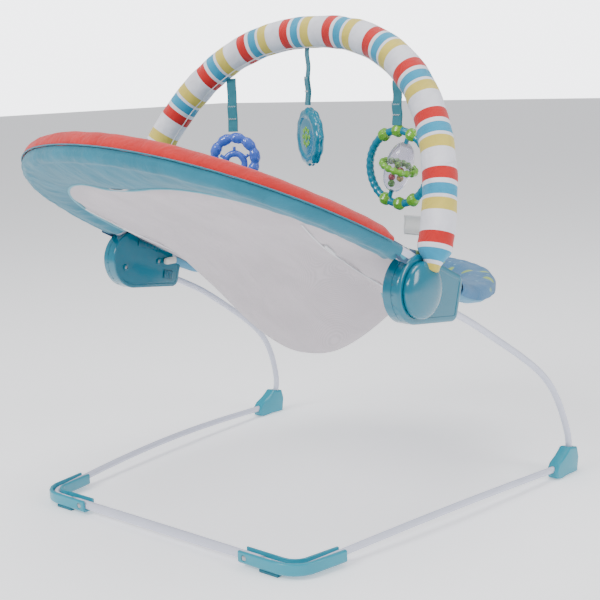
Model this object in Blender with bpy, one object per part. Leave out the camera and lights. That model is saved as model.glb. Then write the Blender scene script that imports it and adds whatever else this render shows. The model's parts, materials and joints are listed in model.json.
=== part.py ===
"""Baby bouncer seat: a wire base, a sprung tube seat with a padded sling, and a toy bar.

World frame: +X is the baby's left, +Y the head end and +Z up. The floor is z = 0 and the origin
lies under the middle of the object. All lengths are in metres and all angles in degrees.
"""

import math

import bmesh
import bpy
from mathutils import Matrix, Vector

# ---------------------------------------------------------------- driving dimensions
FRAME_SHIFT_Y = -0.0065  # puts the middle of the whole length over the origin
GAP = 0.0003  # between pieces that rest on each other
LAYER_GAP = 0.0011  # between layers of fabric
STRAP_GAP = 0.0036  # between a strap and the quilted pad under it

# Base of bent spring wire
BASE_LENGTH = 0.430
REAR_HALF_WIDTH = 0.198
FRONT_HALF_WIDTH = 0.243
WIRE_RADIUS = 0.004
WIRE_HEIGHT = 0.011  # floor to the middle of the wire
WIRE_BOW_OUT = 0.007
WIRE_BOW_UP = 0.006
WIRE_REAR_BEND = 0.024
WIRE_FRONT_BEND = 0.020
WIRE_IN_TUBE = 0.022
CROSS_TUBE_RADIUS = 0.005
CROSS_TUBE_HALF = 0.166
PLUG_CLEARANCE = 0.00025

# Rear feet, front feet and grip pads
REAR_FOOT_WIDTH = 0.0165
REAR_FOOT_BOTTOM = 0.0040
REAR_FOOT_TOP = 0.0175
REAR_FOOT_ALONG_TUBE = 0.075
REAR_FOOT_ALONG_WIRE = 0.060
REAR_SCREW_INSET = 0.008
FRONT_FOOT_WIDTH = 0.0150
FRONT_FOOT_LENGTH = 0.046
FRONT_FOOT_HEIGHT = 0.034
FORK_CLEARANCE = 0.0026
PAD_LENGTH = 0.026
PAD_WIDTH = 0.012
SCREW_RADIUS = 0.0015
SCREW_HEAD_RADIUS = 0.0030
SCREW_HEAD_HEIGHT = 0.0020

# Seat frame tubes
TUBE_RADIUS = 0.0075
TUBE_WALL = 0.0012
RAIL_HALF_WIDTH = 0.219
BACK_START_Y = 0.067
BACK_START_Z = 0.308
BACK_ANGLE = 26.3
BACK_LENGTH = 0.258
BACK_ROUNDNESS = 2.05
BACK_IN_HUB = 0.045
FOOT_CENTRE_Y = 0.043
FOOT_LENGTH = 0.327
FOOT_HEIGHT = 0.2295
FOOT_RISE = 0.0275
FOOT_RISE_LENGTH = 0.055
HUB_FRONT_Y = -0.030
FOOT_IN_HUB = 0.035

# Hubs
HUB_Y = 0.048
HUB_Z = 0.268
HUB_TILT = 16.0
HUB_RADIUS = 0.040
HUB_REACH = 0.077
HUB_FRONT_HALF_HEIGHT = 0.025
HUB_CORNER = 0.006
HUB_INSIDE = 0.0115  # from the middle of the seat tube to the hub's inner face
HUB_OUTSIDE = 0.0102  # and to its outer face
HUB_WALL = 0.0021
HUB_SCREWS = ((-0.015, -0.0126), (0.038, 0.0025))
LEG_IN_HUB = 0.060

# Toy bar pivot and dome
PIVOT_RADIUS = 0.0035
BAR_DISC_RADIUS = 0.029
BAR_DISC_THICK = 0.0040
BAR_ARM_LENGTH = 0.058
BAR_ARM_WIDTH = 0.013
DOME_RADIUS = 0.033
DOME_HEIGHT = 0.0085

# Toy bar
BAR_TILT = 22.0
BAR_OFF_HUB = 0.0088  # from the hub's outer face to the middle of the toy bar
BAR_HEIGHT = 0.290
BAR_ROUNDNESS = 2.3
BAR_RADIUS = 0.0046
BAR_IN_ARM = 0.016
SLEEVE_RADIUS = 0.0185
SLEEVE_START = 0.062

# Soft goods
COVER_WALL = 0.0026
PAD_THICK = 0.0080
SLING_THICK = 0.0025
RAIL_TO_PAD = 0.0130
SLING_SAG = 0.012
SLING_SQUARENESS = 4.0
POCKET_SAG = 0.083
POCKET_Y = -0.0235
POCKET_REAR = 0.100
POCKET_FRONT = 0.080
POCKET_SHARE = 0.64  # of the sling's width
POCKET_SQUARENESS = 2.2
RIM_HALF_WIDTH = 0.0085
RIM_HALF_HEIGHT = 0.0065
HUB_TO_PAD = 0.0115
END_HALF_WIDTH = 0.070

# Toys
STRAP_WIDTH = 0.012
STRAP_THICK = 0.0026
TEETHER_RADIUS = 0.0265
TEETHER_TUBE = 0.0065
SMALL_RING_RADIUS = 0.0125
SMALL_RING_TUBE = 0.0042
RATTLE_RADIUS = 0.0360
RATTLE_THICK = 0.0130
LOOP_RADIUS = 0.0405
LOOP_TUBE = 0.0046
SPINNER_LENGTH = 0.058
SPINNER_RADIUS = 0.0155
SPINNER_TILT = 22.0
SPIN_RING_RADIUS = 0.0195
SPIN_RING_TUBE = 0.0038
SPIN_PIN_RADIUS = 0.0021

# ---------------------------------------------------------------- derived values
FRONT_Y = FRAME_SHIFT_Y - BASE_LENGTH / 2
REAR_Y = FRAME_SHIFT_Y + BASE_LENGTH / 2
HUB_MID_X = RAIL_HALF_WIDTH
HUB_INNER_X = RAIL_HALF_WIDTH - HUB_INSIDE
HUB_OUTER_X = RAIL_HALF_WIDTH + HUB_OUTSIDE
BAR_HALF_WIDTH = HUB_OUTER_X + BAR_OFF_HUB
HUB_CENTRE = Vector((0.0, FRAME_SHIFT_Y + HUB_Y, HUB_Z))
DISC_X = HUB_OUTER_X + 0.0006
DOME_X = DISC_X + BAR_DISC_THICK + 0.0006

COLOURS = {
    "wire_paint": ((0.62, 0.64, 0.80), 0.28, 0.0),
    "hub_plastic": ((0.012, 0.26, 0.40), 0.22, 0.0),
    "foot_plastic": ((0.025, 0.38, 0.50), 0.35, 0.0),
    "pad_rubber": ((0.010, 0.12, 0.18), 0.70, 0.0),
    "screw_steel": ((0.45, 0.45, 0.47), 0.35, 1.0),
    "cover_teal": ((0.10, 0.38, 0.50), 0.85, 0.0),
    "pad_print": ((0.05, 0.24, 0.42), 0.85, 0.0),
    "rim_red": ((0.72, 0.04, 0.03), 0.80, 0.0),
    "sling_mesh": ((0.62, 0.60, 0.62), 0.80, 0.0),
    "strap_teal": ((0.09, 0.48, 0.68), 0.80, 0.0),
    "bar_fabric": ((0.78, 0.78, 0.86), 0.85, 0.0),
    "tag_white": ((0.80, 0.82, 0.92), 0.80, 0.0),
    "hook_white": ((0.75, 0.75, 0.72), 0.40, 0.0),
    "buckle_grey": ((0.30, 0.32, 0.36), 0.40, 0.0),
    "teether_blue": ((0.15, 0.30, 0.82), 0.15, 0.0),
    "rattle_teal": ((0.015, 0.33, 0.48), 0.22, 0.0),
    "bead_green": ((0.28, 0.58, 0.09), 0.25, 0.0),
    "clear_shell": ((0.70, 0.66, 0.78), 0.08, 0.0),
}


# ---------------------------------------------------------------- mesh helpers
def clear_scene():
    for obj in list(bpy.data.objects):
        bpy.data.objects.remove(obj, do_unlink=True)


def material(name):
    found = bpy.data.materials.get(name)
    if found:
        return found
    colour, roughness, metallic = COLOURS[name]
    made = bpy.data.materials.new(name)
    made.use_nodes = True
    shader = made.node_tree.nodes["Principled BSDF"]
    shader.inputs["Base Color"].default_value = (*colour, 1.0)
    shader.inputs["Roughness"].default_value = roughness
    shader.inputs["Metallic"].default_value = metallic
    return made


def add_part(name, bm, finish, smooth=True):
    """Turn a bmesh into a named object, faces outwards."""
    bmesh.ops.remove_doubles(bm, verts=bm.verts, dist=1e-6)
    bmesh.ops.recalc_face_normals(bm, faces=bm.faces)
    mesh = bpy.data.meshes.new(name)
    bm.to_mesh(mesh)
    bm.free()
    if smooth:
        mesh.shade_smooth()
        mesh.set_sharp_from_angle(angle=math.radians(38))
    mesh.materials.append(material(finish))
    obj = bpy.data.objects.new(name, mesh)
    bpy.context.scene.collection.objects.link(obj)
    return obj


def add_cutter(name, bm):
    cutter = add_part(name, bm, "screw_steel", smooth=False)
    cutter.hide_render = True
    cutter.display_type = "WIRE"
    return cutter


def cut(obj, cutters):
    for index, cutter in enumerate(cutters):
        boolean = obj.modifiers.new(f"cut_{index}", "BOOLEAN")
        boolean.operation = "DIFFERENCE"
        boolean.solver = "EXACT"
        boolean.object = cutter


def unite(obj, helpers):
    for index, helper in enumerate(helpers):
        boolean = obj.modifiers.new(f"join_{index}", "BOOLEAN")
        boolean.operation = "UNION"
        boolean.solver = "EXACT"
        boolean.object = helper


def pivot_at(obj, point):
    """Move an object's origin to a point without moving its mesh in the world."""
    obj.data.transform(Matrix.Translation(-Vector(point)))
    obj.location = point


def skin(rings, closed_loop=False, triangles=False):
    """Join rings of points, each with the same count, into one closed surface.

    triangles splits the upper and lower faces of a sheet along the same diagonals, so that
    sheets over the same grid stay a constant distance apart.
    """
    bm = bmesh.new()
    made = [[bm.verts.new(point) for point in ring] for ring in rings]
    count = len(made[0])
    pairs = list(zip(made, made[1:]))
    if closed_loop:
        pairs.append((made[-1], made[0]))
    for first, second in pairs:
        for i in range(count):
            j = (i + 1) % count
            if triangles and i >= count // 2:
                bm.faces.new((first[i], first[j], second[i]))
                bm.faces.new((first[j], second[j], second[i]))
            elif triangles:
                bm.faces.new((first[i], first[j], second[j]))
                bm.faces.new((first[i], second[j], second[i]))
            else:
                bm.faces.new((first[i], first[j], second[j], second[i]))
    if not closed_loop:
        bm.faces.new(made[0])
        bm.faces.new(made[-1])
    return bm


def frames_along(points):
    """Side and up vectors at each point, carried along the path without twist."""
    last = len(points) - 1
    tangents = []
    for i in range(len(points)):
        before = points[max(i - 1, 0)]
        after = points[min(i + 1, last)]
        tangents.append((after - before).normalized())
    side = tangents[0].cross(Vector((0.013, 0.007, 1.0)))
    if side.length < 0.2:
        side = tangents[0].cross(Vector((1.0, 0.02, 0.03)))
    frames = []
    for tangent in tangents:
        side = (side - tangent * side.dot(tangent)).normalized()
        frames.append((side, tangent.cross(side)))
    return frames


def circle(radius, sides):
    turns = [2 * math.pi * i / sides for i in range(sides)]
    return [(radius * math.cos(a), radius * math.sin(a)) for a in turns]


def place(points, frames, sections):
    return [
        [point + side * a + up * b for a, b in section]
        for point, (side, up), section in zip(points, frames, sections)
    ]


def rod(points, radius, sides=8):
    """A solid round bar along a path. The radius is a number, or one number for each point."""
    radii = radius if isinstance(radius, list) else [radius] * len(points)
    sections = [circle(r, sides) for r in radii]
    return skin(place(points, frames_along(points), sections))


def hole_rod(points, radius):
    """A cutter for a round bar: its flats stand off the bar by the gap."""
    return rod(points, (radius + GAP) / math.cos(math.pi / 8), 8)


def pipe(points, outer, inner, sides=8):
    """A round pipe along a path, open at both ends."""
    frames = frames_along(points)
    out = place(points, frames, [circle(outer, sides)] * len(points))
    bore = place(points, frames, [circle(inner, sides)] * len(points))
    return skin(out + bore[::-1], closed_loop=True)


def ring_body(centre, axis, radius, tube, around=28, sides=8):
    """A torus."""
    turn = Vector((0, 0, 1)).rotation_difference(Vector(axis)).to_matrix()
    rings = []
    for i in range(around):
        a = 2 * math.pi * i / around
        out = turn @ Vector((math.cos(a), math.sin(a), 0))
        up = turn @ Vector((0, 0, 1))
        rings.append(
            [Vector(centre) + out * (radius + p) + up * q for p, q in circle(tube, sides)]
        )
    return skin(rings, closed_loop=True)


def turned(profile, start, axis, sides=24):
    """A solid turned about an axis: profile holds (distance along the axis, radius)."""
    turn = Vector((0, 0, 1)).rotation_difference(Vector(axis)).to_matrix()
    rings = []
    for along, radius in profile:
        rings.append(
            [Vector(start) + turn @ Vector((p, q, along)) for p, q in circle(radius, sides)]
        )
    return skin(rings)


def block(centre, size):
    bm = bmesh.new()
    bmesh.ops.create_cube(bm, size=1.0)
    bmesh.ops.scale(bm, vec=Vector(size), verts=bm.verts)
    bmesh.ops.translate(bm, vec=Vector(centre), verts=bm.verts)
    return bm


def rounded_block(centre, size, radius, segments=2):
    bm = block(centre, size)
    bmesh.ops.bevel(
        bm, geom=bm.edges[:], offset=radius, segments=segments, affect="EDGES", profile=0.5
    )
    return bm


def smooth_path(points, count):
    """A Catmull-Rom curve through the points, as this many points at equal spacing."""
    pts = [Vector(p) for p in points]
    ends = [2 * pts[0] - pts[1]] + pts + [2 * pts[-1] - pts[-2]]
    dense = []
    for a, b, c, d in zip(ends, ends[1:], ends[2:], ends[3:]):
        for step in range(12):
            t = step / 12
            dense.append(
                0.5
                * (
                    2 * b
                    + (c - a) * t
                    + (2 * a - 5 * b + 4 * c - d) * t**2
                    + (3 * b - a - 3 * c + d) * t**3
                )
            )
    dense.append(pts[-1])
    return even(dense, count)


def even(points, count):
    """The same path as this many points at equal spacing."""
    lengths = [0.0]
    for a, b in zip(points, points[1:]):
        lengths.append(lengths[-1] + (b - a).length)
    made = []
    index = 0
    for k in range(count):
        want = lengths[-1] * k / (count - 1)
        while index < len(points) - 2 and lengths[index + 1] < want:
            index += 1
        span = lengths[index + 1] - lengths[index]
        share = (want - lengths[index]) / span if span else 0.0
        made.append(points[index].lerp(points[index + 1], min(max(share, 0.0), 1.0)))
    return made


def mirrored(points, sign):
    return [Vector((p.x * sign, p.y, p.z)) for p in points]


SIDES = (("left", 1), ("right", -1))


# ---------------------------------------------------------------- paths of the frame
def superellipse(half_width, share, roundness):
    """Half width left at this share of the length, 0 at the start and 1 at the far end."""
    return half_width * max(0.0, 1 - min(share, 1.0) ** roundness) ** (1 / roundness)


def floor_wire_path():
    """The left floor wire, from inside the cross tube round the rear bend to the front bend."""
    points = []
    tube_x = CROSS_TUBE_HALF - WIRE_IN_TUBE
    points.append(Vector((tube_x, REAR_Y, WIRE_HEIGHT)))
    points.append(Vector((CROSS_TUBE_HALF, REAR_Y, WIRE_HEIGHT)))
    middle = Vector((REAR_HALF_WIDTH - WIRE_REAR_BEND, REAR_Y - WIRE_REAR_BEND, WIRE_HEIGHT))
    for step in range(6):
        a = math.radians(90 - 18 * step)
        points.append(middle + WIRE_REAR_BEND * Vector((math.cos(a), math.sin(a), 0)))
    run_start = points[-1].y
    for step in range(1, 9):
        t = step / 8
        x = REAR_HALF_WIDTH + (FRONT_HALF_WIDTH - REAR_HALF_WIDTH) * t
        bow = math.sin(math.pi * t)
        y = run_start + (FRONT_Y - run_start) * t
        points.append(Vector((x + WIRE_BOW_OUT * bow, y, WIRE_HEIGHT + WIRE_BOW_UP * bow)))
    for angle in (16, 32, 46):
        a = math.radians(angle)
        drop = WIRE_FRONT_BEND * (1 - math.cos(a))
        points.append(
            Vector((FRONT_HALF_WIDTH, FRONT_Y - WIRE_FRONT_BEND * math.sin(a), WIRE_HEIGHT + drop))
        )
    return points


def leg_start():
    """Where the riser begins, just above the end of the floor wire: the bounce pivot."""
    a = math.radians(66)
    drop = WIRE_FRONT_BEND * (1 - math.cos(a))
    return Vector((FRONT_HALF_WIDTH, FRONT_Y - WIRE_FRONT_BEND * math.sin(a), WIRE_HEIGHT + drop))


def leg_exit():
    """Where the riser enters the front of the hub."""
    return hub_point(HUB_REACH, -0.0144, RAIL_HALF_WIDTH - 0.0012)


def leg_path(count=22):
    """The left riser: a C from the front foot forwards, up and back into the hub."""
    low = leg_start()
    high = leg_exit()
    along = Vector((0, math.cos(math.radians(25)), math.sin(math.radians(25))))
    knee = Vector((FRONT_HALF_WIDTH - 0.0035, FRONT_Y - 0.0205, 0.0525))
    shin = Vector((RAIL_HALF_WIDTH + 0.0120, FRONT_Y + 0.0165, 0.1235))
    thigh = Vector((RAIL_HALF_WIDTH - 0.0015, high.y - 0.066, high.z - 0.034))
    return smooth_path([low, knee, shin, thigh, high, high + along * LEG_IN_HUB], count)


def back_point(along, lift=0.0, inward=0.0):
    """A point of the left seat-back rail: distance up the slope, and height off its plane."""
    a = math.radians(BACK_ANGLE)
    x = superellipse(RAIL_HALF_WIDTH, max(along, 0.0) / BACK_LENGTH, BACK_ROUNDNESS)
    y = FRAME_SHIFT_Y + BACK_START_Y + along * math.cos(a) - lift * math.sin(a)
    z = BACK_START_Z + along * math.sin(a) + lift * math.cos(a)
    return Vector((x - inward, y, z))


def back_path(start=-BACK_IN_HUB, lift=0.0, shrink=0.0, steps=13):
    """The whole seat-back tube from the left hub round the head end to the right hub.

    start is the distance up the slope where it begins, and shrink draws the loop in all round.
    """
    half = [back_point(start, lift), back_point(start * 0.4, lift)]
    for i in range(1, steps + 1):
        a = math.pi / 2 * i / steps
        width = max(math.cos(a), 0.0) ** (2 / BACK_ROUNDNESS) * RAIL_HALF_WIDTH
        point = back_point(math.sin(a) ** (2 / BACK_ROUNDNESS) * BACK_LENGTH, lift)
        half.append(Vector((width, point.y, point.z)))
    whole = half + mirrored(half[::-1][1:], -1)
    if not shrink:
        return whole
    slope = math.radians(BACK_ANGLE)
    normal = Vector((0, -math.sin(slope), math.cos(slope)))
    moved = []
    for i, point in enumerate(whole):
        along = whole[min(i + 1, len(whole) - 1)] - whole[max(i - 1, 0)]
        moved.append(point + normal.cross(along.normalized()) * shrink)
    return moved


def foot_height(y):
    return FOOT_HEIGHT + FOOT_RISE * math.exp((y - FRAME_SHIFT_Y - HUB_FRONT_Y) / FOOT_RISE_LENGTH)


def foot_path(steps=10):
    """The whole leg-rest tube from the left hub round the foot end to the right hub."""
    middle = FRAME_SHIFT_Y + FOOT_CENTRE_Y
    front = FRAME_SHIFT_Y + HUB_FRONT_Y
    slope = FOOT_RISE / FOOT_RISE_LENGTH
    reach = math.asin((FOOT_CENTRE_Y - HUB_FRONT_Y) / FOOT_LENGTH)
    inside = math.asin((FOOT_CENTRE_Y - HUB_FRONT_Y - FOOT_IN_HUB) / FOOT_LENGTH)
    half = []
    for i in range(2):
        a = inside + (reach - inside) * i / 2
        y = middle - FOOT_LENGTH * math.sin(a)
        z = foot_height(front) + (y - front) * slope
        half.append(Vector((RAIL_HALF_WIDTH * math.cos(a), y, z)))
    for i in range(steps + 1):
        a = reach + (math.pi / 2 - reach) * i / steps
        y = middle - FOOT_LENGTH * math.sin(a)
        half.append(Vector((RAIL_HALF_WIDTH * math.cos(a), y, foot_height(y))))
    return half + mirrored(half[::-1][1:], -1)


def bar_point(angle):
    """A point of the toy bar's centre line: 0 at the left hub, 180 at the right one."""
    a = math.radians(angle)
    power = 2 / BAR_ROUNDNESS
    x = math.copysign(abs(math.cos(a)) ** power, math.cos(a)) * BAR_HALF_WIDTH
    height = abs(math.sin(a)) ** power * BAR_HEIGHT
    tilt = math.radians(BAR_TILT)
    return HUB_CENTRE + Vector((x, -height * math.sin(tilt), height * math.cos(tilt)))


def bar_rise(point):
    """Distance of a bar point from the line through both hub centres."""
    return math.hypot(point.y - HUB_CENTRE.y, point.z - HUB_CENTRE.z)


def bar_angle(rise):
    """The angle at which the bar stands this far from the line through the hubs."""
    return math.degrees(math.asin((rise / BAR_HEIGHT) ** (BAR_ROUNDNESS / 2)))


def bar_path(steps=26):
    """The bar from inside the left arm to inside the right arm."""
    first = bar_angle(BAR_ARM_LENGTH - BAR_IN_ARM)
    return [bar_point(first + (180 - 2 * first) * i / steps) for i in range(steps + 1)]


# ---------------------------------------------------------------- base
def channel_section(radius, open_top):
    """A slot with a round bottom: half a circle and straight walls up to open_top."""
    arc = [(math.pi + math.pi * i / 8) for i in range(9)]
    section = [(radius * math.cos(a), radius * math.sin(a)) for a in arc]
    return section + [(radius, open_top), (-radius, open_top)]


def upright_frames(points):
    """Frames whose up vector is vertical, for channels and feet along a floor wire."""
    frames = []
    for i in range(len(points)):
        before = points[max(i - 1, 0)]
        after = points[min(i + 1, len(points) - 1)]
        along = (after - before).normalized()
        side = along.cross(Vector((0, 0, 1))).normalized()
        frames.append((side, Vector((0, 0, 1))))
    return frames


def rear_foot_path(sign):
    """The stretch of wire and cross tube that a rear foot holds."""
    wire = floor_wire_path()
    last_y = REAR_Y - REAR_FOOT_ALONG_WIRE
    middle = [p for p in wire[1:] if p.y > last_y]
    after = next(p for p in wire[1:] if p.y <= last_y)
    before = middle[-1]
    share = (before.y - last_y) / (before.y - after.y)
    end = before.lerp(after, share)
    start = Vector((REAR_HALF_WIDTH - REAR_FOOT_ALONG_TUBE, REAR_Y, WIRE_HEIGHT))
    points = [start] + middle + [end]
    flat = [Vector((p.x, p.y, WIRE_HEIGHT)) for p in points]
    return mirrored(flat, sign)


def make_base():
    cross = [Vector((x, REAR_Y, WIRE_HEIGHT)) for x in (-CROSS_TUBE_HALF, 0, CROSS_TUBE_HALF)]
    bore = WIRE_RADIUS + PLUG_CLEARANCE
    tube = add_part("rear_cross_tube", pipe(cross, CROSS_TUBE_RADIUS, bore, 12), "wire_paint")
    screw_x = REAR_HALF_WIDTH - REAR_FOOT_ALONG_TUBE + REAR_SCREW_INSET
    wall_y = REAR_Y + REAR_FOOT_WIDTH / 2
    for side, sign in SIDES:
        wire = mirrored(floor_wire_path(), sign)
        add_part(f"floor_wire_{side}", rod(wire, WIRE_RADIUS), "wire_paint")
        make_rear_foot(side, sign, screw_x, wall_y, tube)
        make_front_foot(side, sign)


def make_rear_foot(side, sign, screw_x, wall_y, tube):
    path = rear_foot_path(sign)
    low = REAR_FOOT_BOTTOM - WIRE_HEIGHT
    high = REAR_FOOT_TOP - WIRE_HEIGHT
    half = REAR_FOOT_WIDTH / 2
    soft = 0.0022
    outline = [(-half, low + soft), (-half + soft, low), (half - soft, low), (half, low + soft)]
    outline += [(half, high - soft / 2), (half - soft / 2, high)]
    outline += [(-half + soft / 2, high), (-half, high - soft / 2)]
    body = skin(place(path, upright_frames(path), [outline] * len(path)))
    foot = add_part(f"rear_foot_{side}", body, "foot_plastic")
    wire = mirrored([Vector((p.x, p.y, WIRE_HEIGHT)) for p in floor_wire_path()[1:10]], sign)
    slot = channel_section(WIRE_RADIUS + GAP, REAR_FOOT_TOP)
    wire_cut = skin(place(wire, upright_frames(wire), [slot] * len(wire)))
    wide = channel_section(CROSS_TUBE_RADIUS + GAP, REAR_FOOT_TOP)
    tube_ends = (0.10, CROSS_TUBE_HALF + 0.0005)
    tube_line = [Vector((sign * x, REAR_Y, WIRE_HEIGHT)) for x in tube_ends]
    tube_cut = skin(place(tube_line, upright_frames(tube_line), [wide] * 2))
    at = Vector((sign * screw_x, wall_y, WIRE_HEIGHT))
    sink = SCREW_HEAD_RADIUS + GAP
    head_depth = SCREW_HEAD_HEIGHT + GAP
    profile = [(0.002, sink), (-head_depth, sink), (-head_depth, SCREW_RADIUS + GAP)]
    profile += [(-0.0095, SCREW_RADIUS + GAP)]
    screw_cut = add_cutter(f"cut_rear_screw_{side}", turned(profile, at, (0, 1, 0), 12))
    cutters = [
        add_cutter(f"cut_foot_wire_{side}", wire_cut),
        add_cutter(f"cut_foot_tube_{side}", tube_cut),
        screw_cut,
    ]
    cut(foot, cutters)
    cut(tube, [screw_cut])
    shape = [(-0.0085, SCREW_RADIUS), (-SCREW_HEAD_HEIGHT, SCREW_RADIUS)]
    shape += [(-SCREW_HEAD_HEIGHT, SCREW_HEAD_RADIUS), (-0.0004, SCREW_HEAD_RADIUS)]
    shape += [(0.0, SCREW_HEAD_RADIUS * 0.7)]
    add_part(f"rear_foot_screw_{side}", turned(shape, at, (0, 1, 0), 10), "screw_steel")
    pad_height = REAR_FOOT_BOTTOM - GAP
    pad_x = sign * (REAR_HALF_WIDTH - 0.036)
    pad = rounded_block((pad_x, REAR_Y, pad_height / 2), (PAD_LENGTH, PAD_WIDTH, pad_height), 0.001, 1)
    add_part(f"rear_grip_pad_{side}", pad, "pad_rubber", smooth=False)


def front_foot_outline():
    """Side view of a front foot, as (y, z), with the fork for the riser at its upper end."""
    front = FRONT_Y - WIRE_FRONT_BEND - WIRE_RADIUS
    back = front + FRONT_FOOT_LENGTH
    top = FRONT_FOOT_HEIGHT
    return [
        (front - 0.0045, 0.0),
        (front + 0.006, 0.0),
        (front + 0.018, 0.0010),
        (back - 0.010, 0.0),
        (back - 0.003, 0.0020),
        (back, WIRE_HEIGHT),
        (back - 0.007, WIRE_HEIGHT + 0.0085),
        (back - 0.020, WIRE_HEIGHT + 0.0145),
        (front + 0.0175, top - 0.003),
        (front + 0.0140, top),
        (front - 0.0040, top - 0.0035),
        (front - 0.0075, top * 0.55),
    ]


def make_front_foot(side, sign):
    half = FRONT_FOOT_WIDTH / 2
    rings = []
    for offset, shrink in ((-half, 0.0016), (-half + 0.002, 0), (half - 0.002, 0), (half, 0.0016)):
        ring = []
        for y, z in front_foot_outline():
            middle_y = FRONT_Y - 0.004
            ring.append(
                Vector(
                    (
                        sign * FRONT_HALF_WIDTH + offset,
                        y + (middle_y - y) * shrink / 0.02,
                        max(z + (WIRE_HEIGHT - z) * shrink / 0.02, 0.0),
                    )
                )
            )
        rings.append(ring)
    foot = add_part(f"front_foot_{side}", skin(rings), "foot_plastic")
    wire = mirrored(floor_wire_path()[-5:], sign)
    tip = wire[-1] + (wire[-1] - wire[-2]).normalized() * 0.002
    wire_cut = hole_rod(wire + [tip], WIRE_RADIUS)
    leg = mirrored(leg_path()[:6], sign)
    below = leg[0] - (leg[1] - leg[0]).normalized() * 0.004
    radii = [WIRE_RADIUS + 0.0012] + [
        WIRE_RADIUS + 0.0006 + FORK_CLEARANCE * i / 2.5 for i in range(len(leg))
    ]
    leg_cut = rod([below] + leg, radii, 10)
    cutters = [
        add_cutter(f"cut_boot_wire_{side}", wire_cut),
        add_cutter(f"cut_boot_riser_{side}", leg_cut),
    ]
    cut(foot, cutters)


# ---------------------------------------------------------------- hubs
def hub_point(u, v, x):
    """World point from the hub's own axes: u forwards along it, v up across it."""
    a = math.radians(HUB_TILT)
    y = -u * math.cos(a) - v * math.sin(a)
    z = -u * math.sin(a) + v * math.cos(a)
    return HUB_CENTRE + Vector((x, y, z))


def hub_outline(inset):
    """Side view of a hub as (u, v): a big round rear end and a flat front, drawn in by inset."""
    radius = HUB_RADIUS - inset
    corner = HUB_CORNER - min(inset, HUB_CORNER * 0.8)
    reach = HUB_REACH - inset - corner
    rise = HUB_FRONT_HALF_HEIGHT - inset - corner
    lean = math.atan2(rise, reach)
    spread = math.acos((radius - corner) / math.hypot(reach, rise))
    start = lean + spread
    steps = 12
    outline = []
    for i in range(steps + 1):
        a = start + (2 * math.pi - 2 * start) * i / steps
        outline.append((radius * math.cos(a), radius * math.sin(a)))
    for i in range(3):
        a = -start + start * i / 2
        outline.append((reach + corner * math.cos(a), -rise + corner * math.sin(a)))
    for i in range(3):
        a = start * i / 2
        outline.append((reach + corner * math.cos(a), rise + corner * math.sin(a)))
    return outline


def hub_ring(x, inset, sign):
    return [hub_point(u, v, sign * x) for u, v in hub_outline(inset)]


def lengthened(path):
    """The path with a point a millimetre before its start, so that a cut clears the end."""
    return [path[0] - (path[1] - path[0]).normalized() * 0.001] + path


def inside_hub_cutters(side, sign):
    """The tubes and the riser, slightly fat, for the seats and holes that hold them."""
    back = lengthened(back_path()[:5])
    foot = lengthened(foot_path()[:5])
    leg = lengthened(leg_path()[:-9:-1])
    return [
        add_cutter(f"cut_back_tube_{side}", hole_rod(mirrored(back, sign), TUBE_RADIUS)),
        add_cutter(f"cut_foot_tube_{side}_hub", hole_rod(mirrored(foot, sign), TUBE_RADIUS)),
        add_cutter(f"cut_leg_{side}", hole_rod(mirrored(leg, sign), WIRE_RADIUS)),
    ]


def make_hub(side, sign):
    tubes = inside_hub_cutters(side, sign)
    split = HUB_MID_X
    wall = HUB_WALL
    inner = skin(
        [
            hub_ring(HUB_INNER_X, 0.0030, sign),
            hub_ring(HUB_INNER_X + 0.0010, 0.0010, sign),
            hub_ring(HUB_INNER_X + 0.0030, 0.0, sign),
            hub_ring(split - GAP, 0.0, sign),
        ]
    )
    inner_half = add_part(f"hub_inner_{side}", inner, "hub_plastic")
    floor_x = HUB_OUTER_X - wall
    outer = skin(
        [
            hub_ring(floor_x, wall + 0.0030, sign),
            hub_ring(floor_x - 0.0015, wall + 0.0012, sign),
            hub_ring(split, wall, sign),
            hub_ring(split, 0.0, sign),
            hub_ring(HUB_OUTER_X - 0.0045, 0.0003, sign),
            hub_ring(HUB_OUTER_X - 0.0015, 0.0018, sign),
            hub_ring(HUB_OUTER_X, 0.0048, sign),
        ]
    )
    outer_half = add_part(f"hub_outer_{side}", outer, "hub_plastic")
    clamp = skin(
        [
            hub_ring(split + GAP, wall + 0.0012, sign),
            hub_ring(floor_x - 0.0016 - GAP, wall + 0.0016, sign),
        ]
    )
    clamp_part = add_part(f"hub_clamp_{side}", clamp, "hub_plastic")
    pin_hole = turned(
        [(HUB_INNER_X + 0.004, PIVOT_RADIUS + GAP), (HUB_OUTER_X + 0.002, PIVOT_RADIUS + GAP)],
        HUB_CENTRE,
        (sign, 0, 0),
        14,
    )
    pin_cut = add_cutter(f"cut_pivot_{side}", pin_hole)
    screw_cuts = []
    for number, (u, v) in enumerate(HUB_SCREWS, 1):
        screw_cuts.append(make_hub_screw(side, sign, number, u, v))
    cut(inner_half, tubes + [pin_cut] + screw_cuts)
    cut(clamp_part, tubes + [pin_cut] + screw_cuts)
    cut(outer_half, tubes + [pin_cut])
    make_bar_pivot(side, sign)


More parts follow.
